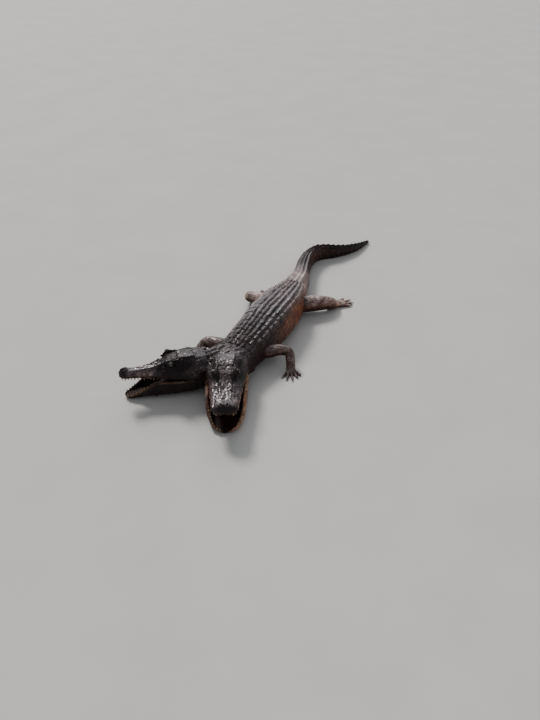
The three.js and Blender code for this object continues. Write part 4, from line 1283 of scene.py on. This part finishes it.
def pebbles(name, chosen, spacing, height, stretch=1.12, kind="pebble"):
    spacing = spacing * (1 + 0.3 * soft_noise(skin_points[chosen], 24, 31))
    chosen, spacing = spread_points(chosen, spacing)
    if kind == "smooth":
        bare = RNG.random(len(chosen)) < 0.4 + 0.4 * (soft_noise(skin_points[chosen], 30, 32) > 0)
        chosen, spacing = chosen[~bare], spacing[~bare]
    coat = Coat(name, kind)
    out = normals[chosen]
    ahead = flow_of(chosen)
    ahead = unit(ahead - out * (ahead * out).sum(-1, keepdims=True) + 1e-6)
    across = np.cross(out, ahead)
    for i in range(len(chosen)):
        size = spacing[i] * 1.2
        tall = height[0] + height[1] * RNG.random()
        coat.add(skin_points[chosen[i]], ahead[i], across[i], unit(out[i] + 0.05 * ahead[i]),
                 size * stretch * jitter(0.15), size * jitter(0.12), size * tall, size * 0.12, 0.0)
    return coat.build(0.35 if kind == "smooth" else 0.2)


coat_pieces = [coat.build() for coat in (back, tail_scutes, crests, flanks, tail_sides, nape)]
no_mouth = masks["mouth"] < 0.25
for k, which in enumerate(HEADS):
    own = np.nonzero((region == SKULL_REGION) & (owner == k) & no_mouth & (along > -8))[0]
    spacing = np.interp(along[own], [0, 80, 150, 300], [7.5, 6.4, 6.0, 4.8])
    eyes = [place(upper_matrix(which), eye_spot(which, hand)[1]) for hand in (1, -1)]
    clear = np.min([np.linalg.norm(skin_points[own] - eye, axis=1) for eye in eyes],
        axis=0) > EYE_RADIUS + 12
    coat_pieces.append(pebbles(f"scales_{which}_head", own[clear], spacing[clear], (0.03, 0.06), 1.1,
        "smooth"))
    own = np.nonzero((region == JAW_REGION) & (owner == k) & no_mouth & (along > -8)
        & (skin_points[:, 2] > 4))[0]
    spacing = np.interp(along[own], [0, 100, 300], [8.5, 7.0, 5.4])
    coat_pieces.append(pebbles(f"scales_{which}_jaw", own, spacing, (0.03, 0.05), 1.5, "smooth"))
own = np.nonzero((region == NECK_REGION) & no_mouth & (skin_points[:, 2] > 6))[0]
coat_pieces.append(pebbles("scales_necks", own,
    np.interp(skin_points[own, 2], [0, 60, 120], [7, 7.5, 9.0]), (0.09, 0.08)))
own = np.nonzero((region == BODY_REGION) & (along < 78) & (skin_points[:, 2] > 40))[0]
coat_pieces.append(pebbles("scales_shoulders", own, np.full(len(own), 8.5), (0.09, 0.07), 1.2))
own = np.nonzero(region == LIMB_REGION)[0]
coat_pieces.append(pebbles("scales_limbs", own, np.interp(along[own], [0, 1], [8.2, 5.6]), (0.06, 0.06),
    1.2))
own = np.nonzero((region == FOOT_REGION) & (normals[:, 2] > 0.1))[0]
coat_pieces.append(pebbles("scales_feet", own, np.full(len(own), 4.4), (0.06, 0.05)))


# Teeth, claws and eyes
def cone_mesh(name, paths, sides=10):
    """Curved cones, each along its own path from a wide root to a point, joined into one piece."""
    points = []
    faces = []
    tips = []
    total = 0
    for path, radius in paths:
        steps = len(path)
        share = np.linspace(0, 1, steps)
        radii = radius * np.sqrt(np.maximum(1 - share**1.6, 0.004))
        points.append(tube_rings(path, radii, sides, (0.31, 0.17, 0.93)).reshape(-1, 3))
        tips.append(np.repeat(share, sides))
        faces += tube_faces(steps, sides, total)
        faces.append(tuple(total + k for k in range(sides))[::-1])
        faces.append(tuple(total + (steps - 1) * sides + k for k in range(sides)))
        total += steps * sides
    thing = new_object(name, np.maximum(np.vstack(points), [-1e9, -1e9, FLOOR * 0.5]), faces)
    give(thing.data, "tip", np.concatenate(tips))
    return thing


TEETH = {"upper": (168, 288, 12, 8.5, 4, -1), "lower": (206, 281, 8, 7.5, -4, 1)}


def tooth_paths(which):
    paths = []
    for row, matrix, stations in (("upper", upper_matrix(which), SKULL),
        ("lower", lower_matrix(which), JAW)):
        start, end, number, long, root, down = TEETH[row]
        for i in range(number):
            at = start + (end - start) * i / (number - 1)
            large = 0.62 + 0.5 * abs(math.sin(i * 1.05 + 0.4)) ** 1.5
            for hand in (1, -1):
                out = one_size(stations, WIDTH_OF[which], at) * (0.865 if row == "upper" else 0.9)
                length = long * large * jitter(0.12) + abs(root)
                lean = hand * (1.2 if row == "upper" else 0.6)
                lip = one_size(JAW, JAW_LIP, at) if row == "lower" else 0.0
                path = []
                for share in np.linspace(0, 1, 8):
                    bow = lean * math.sin(share * math.pi) * 1.1
                    path.append((at - 1.6 * share**2, hand * out + bow, lip + root + down * length
                        * share))
                paths.append((place(matrix, path), 2.5 * (0.75 + 0.35 * large)))
    return paths


teeth = [cone_mesh(f"teeth_{which}_head", tooth_paths(which)) for which in HEADS]
claws = cone_mesh("claws", claw_paths)


def eye_piece(which, hand):
    name = f"eye_{which}_head_{'left' if hand > 0 else 'right'}"
    matrix = upper_matrix(which)
    centre = place(matrix, eye_spot(which, hand)[1])
    look = unit(np.array([EYE_LOOK[0], hand * EYE_LOOK[1], EYE_LOOK[2]])) @ matrix[0]
    level = unit(np.cross(UP, look))
    rise = np.cross(look, level)
    points = [look * EYE_RADIUS]
    gaze = [(0, 0)]
    faces = []
    rows, sides = 28, 40
    for i in range(1, rows):
        tilt = math.pi * i / rows
        bulge = 0.5 * math.exp(-((tilt / 0.55) ** 2))
        for k in range(sides):
            turn = 2 * math.pi * k / sides
            flat = (math.sin(tilt) * math.cos(turn), math.sin(tilt) * math.sin(turn))
            points.append((look * math.cos(tilt) + level * flat[0] + rise * flat[1])
                * (EYE_RADIUS - 0.4 + bulge))
            gaze.append(flat if tilt < math.pi / 2 else (2, 2))
    points.append(-look * EYE_RADIUS)
    gaze.append((2, 2))
    for k in range(sides):
        faces.append((0, 1 + k, 1 + (k + 1) % sides))
        last = 1 + (rows - 2) * sides
        faces.append((len(points) - 1, last + (k + 1) % sides, last + k))
    for i in range(rows - 2):
        for k in range(sides):
            a = 1 + i * sides + k
            b = 1 + i * sides + (k + 1) % sides
            faces.append((a, a + sides, b + sides, b))
    thing = new_object(name, centre + np.array(points), faces)
    give(thing.data, "gaze_x", np.array(gaze)[:, 0])
    give(thing.data, "gaze_y", np.array(gaze)[:, 1])
    return thing


eyes = {(which, hand): eye_piece(which, hand) for which in HEADS for hand in (1, -1)}


# Materials
class Nodes:
    """Short ways to add and join shader nodes."""

    def __init__(self, name):
        self.material = bpy.data.materials.new(name)
        self.material.use_nodes = True
        self.tree = self.material.node_tree
        self.shader = self.tree.nodes["Principled BSDF"]

    def node(self, kind, settings=None, **inputs):
        made = self.tree.nodes.new(kind)
        for key, value in (settings or {}).items():
            setattr(made, key, value)
        for key, value in inputs.items():
            self.put(made.inputs[key.replace("_", " ")], value)
        return made

    def put(self, socket, value):
        if isinstance(value, bpy.types.NodeSocket):
            self.tree.links.new(value, socket)
        elif isinstance(value, tuple) and len(value) == 3 and socket.type == "RGBA":
            socket.default_value = (*value, 1)
        else:
            socket.default_value = value

    def mask(self, name):
        return self.node("ShaderNodeAttribute", {"attribute_name": name}).outputs["Fac"]

    def math(self, operation, a, b=0.0, clamp=False):
        made = self.tree.nodes.new("ShaderNodeMath")
        made.operation = operation
        made.use_clamp = clamp
        self.put(made.inputs[0], a)
        self.put(made.inputs[1], b)
        return made.outputs[0]

    def ramp(self, value, low, high):
        made = self.node("ShaderNodeMapRange", {"interpolation_type": "SMOOTHSTEP"}, From_Min=low,
            From_Max=high)
        self.put(made.inputs["Value"], value)
        return made.outputs["Result"]

    def mix(self, share, a, b, blend="MIX"):
        made = self.tree.nodes.new("ShaderNodeMix")
        made.data_type = "RGBA"
        made.blend_type = blend
        self.put(made.inputs[0], share)
        self.put(made.inputs[6], a)
        self.put(made.inputs[7], b)
        return made.outputs[2]

    def place(self):
        return self.node("ShaderNodeTexCoord").outputs["Object"]

    def noise(self, scale, detail=4.0, roughness=0.55, distortion=0.0):
        return self.node("ShaderNodeTexNoise", None, Vector=self.place(), Scale=scale, Detail=detail,
                         Roughness=roughness, Distortion=distortion).outputs["Fac"]

    def cells(self, scale, feature="F1"):
        made = self.node("ShaderNodeTexVoronoi", {"feature": feature}, Vector=self.place(), Scale=scale)
        return made.outputs["Distance"]

    def bump(self, height, strength, distance, after=None):
        made = self.node("ShaderNodeBump", None, Strength=strength, Distance=distance)
        self.put(made.inputs["Height"], height)
        if after is not None:
            self.put(made.inputs["Normal"], after)
        return made.outputs["Normal"]


def hide_material():
    n = Nodes("wet_hide")
    broad = n.noise(9, 5)
    patch = n.noise(38, 5, 0.6, 0.4)
    grain = n.noise(240, 4)
    fleck = n.noise(150, 3, 0.5)
    colour = n.mix(n.ramp(broad, 0.38, 0.66), (0.010, 0.006, 0.004), (0.042, 0.025, 0.018))
    # Each marking: its mask, the noise that breaks it up and between which values, its strength,
    # its dark and its light tone
    for mask, broken, low, high, strength, dark, light in (
        # Grey painted sheen on the upward faces; the same mask sets where the coat is glossiest
        ("grey", broad, 0.25, 0.6, 1.0, (0.024, 0.016, 0.019), (0.170, 0.128, 0.142)),
        ("warm", broad, 0.2, 0.55, 1.0, (0.10, 0.021, 0.005), (0.42, 0.125, 0.028)),
        ("maroon", patch, 0.2, 0.6, 1.0, (0.016, 0.003, 0.002), (0.075, 0.013, 0.009)),
        ("belly", patch, -1.0, 0.0, 0.7, (0.20, 0.12, 0.065), (0.36, 0.25, 0.15)),
        # Pale: a painted highlight on limb tops, feet, the tail's base and raised head wrinkles, with the
        # tail base's own pinkish tone
        ("pale", broad, 0.28, 0.56, 1.0, (0.20, 0.10, 0.08), (0.68, 0.55, 0.51)),
        ("lip", patch, 0.1, 0.4, 0.95, (0.15, 0.045, 0.014), (0.74, 0.42, 0.25)),
        # Light specks: painted glints
        ("speck", fleck, 0.6, 0.7, 0.6, (0.28, 0.24, 0.26), (0.36, 0.33, 0.35)),
        # Ridge tops: partly wear, partly a painted highlight
        ("keel", patch, 0.35, 0.7, 0.65, (0.17, 0.128, 0.12), (0.32, 0.26, 0.25)),
        # Mouth near black: painted shade inside the open mouths
        ("mouth", patch, -1.0, 0.0, 1.0, (0.006, 0.002, 0.002), (0.032, 0.008, 0.009)),
        ("groove", patch, -1.0, 0.0, 0.75, (0.006, 0.004, 0.003), (0.012, 0.007, 0.005)),
        # Dark: the tail end's, necks' and front trunk's own darker tone, and painted shade in head
        # hollows, on head B's face and jaw, on head A's right jaw side and on limbs' downward faces
        ("dark", broad, -1.0, 0.0, 0.88, (0.004, 0.0028, 0.003), (0.010, 0.006, 0.006)),
    ):
        tone = n.mix(n.ramp(patch, 0.32, 0.7), dark, light)
        amount = n.math("MULTIPLY", n.math("MULTIPLY", n.mask(mask), n.ramp(broken, low, high)), strength)
        colour = n.mix(amount, colour, tone)
    colour = n.mix(1.0, colour, n.mix(n.mask("shade"), (0.68, 0.64, 0.62), (1.34, 1.3, 1.28)), "MULTIPLY")
    n.put(n.shader.inputs["Base Color"], colour)
    rough = n.math("ADD", n.math("MULTIPLY", n.ramp(patch, 0.3, 0.75), 0.26), 0.26)
    rough = n.math("ADD", rough, n.math("MULTIPLY", grain, 0.1))
    rough = n.math("ADD", rough, n.math("MULTIPLY", n.mask("dark"), 0.2))
    n.put(n.shader.inputs["Roughness"], rough)
    wet = n.math("ADD", n.math("MULTIPLY", n.mask("grey"), 0.5), 0.15)
    dull = n.math("SUBTRACT", 1.0, n.math("MULTIPLY", n.mask("dark"), 0.9))
    n.put(n.shader.inputs["Coat Weight"], n.math("MULTIPLY", wet, dull))
    n.shader.inputs["Specular Tint"].default_value = (1.0, 0.9, 0.95, 1)
    n.shader.inputs["Coat Roughness"].default_value = 0.13
    n.shader.inputs["Specular IOR Level"].default_value = 0.28
    wrinkle = n.bump(n.cells(330), 0.35, 0.0006)
    wrinkle = n.bump(grain, 0.5, 0.0004, wrinkle)
    wrinkle = n.bump(patch, 0.4, 0.0015, wrinkle)
    n.put(n.shader.inputs["Normal"], wrinkle)
    return n.material


def lining_material():
    n = Nodes("mouth_lining")
    patch = n.noise(45, 5, 0.6)
    # Near-black lining: painted shade inside the open mouths
    n.put(n.shader.inputs["Base Color"],
        n.mix(n.ramp(patch, 0.3, 0.7), (0.006, 0.002, 0.002), (0.030, 0.007, 0.007)))
    n.put(n.shader.inputs["Roughness"], n.math("ADD", n.math("MULTIPLY", patch, 0.2), 0.55))
    n.shader.inputs["Specular IOR Level"].default_value = 0.08
    n.put(n.shader.inputs["Normal"], n.bump(patch, 0.5, 0.0015))
    return n.material


def tooth_material():
    n = Nodes("old_ivory")
    stain = n.noise(260, 4)
    root = n.ramp(n.mask("tip"), 0.75, 0.2)
    colour = n.mix(n.ramp(stain, 0.35, 0.7), (0.20, 0.13, 0.07), (0.38, 0.29, 0.18))
    colour = n.mix(n.math("MULTIPLY", root, 0.75), colour, (0.20, 0.095, 0.035))
    n.put(n.shader.inputs["Base Color"], colour)
    n.put(n.shader.inputs["Roughness"], n.math("ADD", n.math("MULTIPLY", stain, 0.2), 0.2))
    n.shader.inputs["Coat Weight"].default_value = 0.35
    n.shader.inputs["Coat Roughness"].default_value = 0.1
    n.put(n.shader.inputs["Normal"], n.bump(n.noise(520, 3), 0.3, 0.0003))
    return n.material


def claw_material():
    n = Nodes("dark_horn")
    streak = n.noise(300, 4, 0.6)
    colour = n.mix(n.ramp(streak, 0.4, 0.7), (0.012, 0.009, 0.008), (0.06, 0.042, 0.032))
    colour = n.mix(n.math("MULTIPLY", n.ramp(n.mask("tip"), 0.6, 1.0), 0.4), colour, (0.10, 0.075, 0.05))
    n.put(n.shader.inputs["Base Color"], colour)
    n.put(n.shader.inputs["Roughness"], n.math("ADD", n.math("MULTIPLY", streak, 0.25), 0.15))
    n.shader.inputs["Coat Weight"].default_value = 0.4
    n.shader.inputs["Coat Roughness"].default_value = 0.1
    n.put(n.shader.inputs["Normal"], n.bump(streak, 0.35, 0.0004))
    return n.material


def eye_material():
    n = Nodes("eye_gloss")
    x = n.mask("gaze_x")
    y = n.mask("gaze_y")
    radius = n.math("SQRT", n.math("ADD", n.math("MULTIPLY", x, x), n.math("MULTIPLY", y, y)))
    fibre = n.noise(700, 3, 0.6)
    iris = n.mix(n.ramp(fibre, 0.35, 0.7), (0.045, 0.026, 0.008), (0.15, 0.095, 0.028))
    iris = n.mix(n.ramp(radius, 0.38, 0.62), iris, (0.035, 0.022, 0.010))
    white = n.mix(n.ramp(fibre, 0.3, 0.7), (0.05, 0.028, 0.018), (0.10, 0.06, 0.04))
    colour = n.mix(n.ramp(radius, 0.62, 0.68), iris, white)
    slit = n.math("ADD", n.math("MULTIPLY", n.math("ABSOLUTE", x), 9.0),
        n.math("MULTIPLY", n.math("ABSOLUTE", y), 2.0))
    colour = n.mix(n.ramp(slit, 1.05, 0.9), colour, (0.003, 0.003, 0.003))
    n.put(n.shader.inputs["Base Color"], colour)
    n.put(n.shader.inputs["Roughness"], n.math("ADD", n.math("MULTIPLY", fibre, 0.1), 0.12))
    n.shader.inputs["Coat Weight"].default_value = 1.0
    n.shader.inputs["Coat Roughness"].default_value = 0.03
    return n.material


def floor_material():
    n = Nodes("studio_floor")
    tone = n.mix(n.ramp(n.noise(3, 3), 0.3, 0.7), (0.60, 0.585, 0.555), (0.64, 0.62, 0.59))
    n.put(n.shader.inputs["Base Color"], tone)
    n.shader.inputs["Roughness"].default_value = 0.8
    return n.material


hide = hide_material()
ivory = tooth_material()
horn = claw_material()
gloss = eye_material()

NODES_OF_HIDE = sorted(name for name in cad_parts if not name.endswith("_eye"))
skin.data.materials.clear()
skin.data.materials.append(hide)
skin.data.materials.append(lining_material())
corner = read(skin_mesh.loops, "vertex_index", 1, np.int32)
lining = masks["mouth"][corner[read(skin_mesh.polygons, "loop_start", 1, np.int32)]] > 0.5
skin_mesh.polygons.foreach_set("material_index", lining.astype(np.int32))
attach(skin, "root")
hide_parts(*NODES_OF_HIDE)
for piece in coat_pieces:
    piece.data.materials.append(hide)
    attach(piece, "root")
for piece, material in [(t, ivory) for t in teeth] + [(claws, horn)]:
    piece.data.materials.append(material)
    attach(piece, "root")
for (which, hand), piece in eyes.items():
    piece.data.materials.append(gloss)
    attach(piece, "root")
    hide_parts(f"{which}_head_{'left' if hand > 0 else 'right'}_eye")

# Floor, lights and camera
FLOOR_SIZE = 30.0
plane = bpy.data.meshes.new("floor")
edge = FLOOR_SIZE / 2
plane.from_pydata([(-edge, -edge, 0), (edge, -edge, 0), (edge, edge, 0), (-edge, edge, 0)], [],
    [(0, 1, 2, 3)])
floor = bpy.data.objects.new("floor", plane)
bpy.context.scene.collection.objects.link(floor)
plane.materials.append(floor_material())


# Name, the way to the light, strength, how wide it looks in degrees, colour
LIGHTS = [
    ("key_behind_left", (-0.66, 0.42, 0.66), 2.7, 14, (1.0, 0.97, 0.93)),
    ("sheen_behind", (-0.40, 0.74, 0.52), 0.9, 42, (0.92, 0.95, 1.0)),
]
for name, toward, strength, width, colour in LIGHTS:
    lamp = bpy.data.lights.new(name, "SUN")
    lamp.energy = strength
    lamp.angle = math.radians(width)
    lamp.color = colour
    light = bpy.data.objects.new(name, lamp)
    bpy.context.scene.collection.objects.link(light)
    light.rotation_mode = "QUATERNION"
    light.rotation_quaternion = Vector(toward).to_track_quat("Z", "Y")

world = bpy.data.worlds.new("studio")
bpy.context.scene.world = world
world.use_nodes = True
world.node_tree.nodes["Background"].inputs["Color"].default_value = (0.80, 0.83, 0.88, 1)
world.node_tree.nodes["Background"].inputs["Strength"].default_value = 0.42

CAMERA_PLACE = (1.10, -1.86, 1.5)
CAMERA_AZIMUTH = 30
CAMERA_PITCH = 36
FOCAL_PIXELS = 650
LONG_SIDE_PIXELS = 720
SENSOR = 36.0
camera_data = bpy.data.cameras.new("camera")
camera_data.sensor_width = SENSOR
camera_data.lens = FOCAL_PIXELS / LONG_SIDE_PIXELS * SENSOR
camera_data.clip_start = 0.02
camera_data.clip_end = 60
camera = bpy.data.objects.new("camera", camera_data)
bpy.context.scene.collection.objects.link(camera)
camera.location = CAMERA_PLACE
camera.rotation_euler = (math.radians(90 - CAMERA_PITCH), 0, math.radians(CAMERA_AZIMUTH))
bpy.context.scene.camera = camera
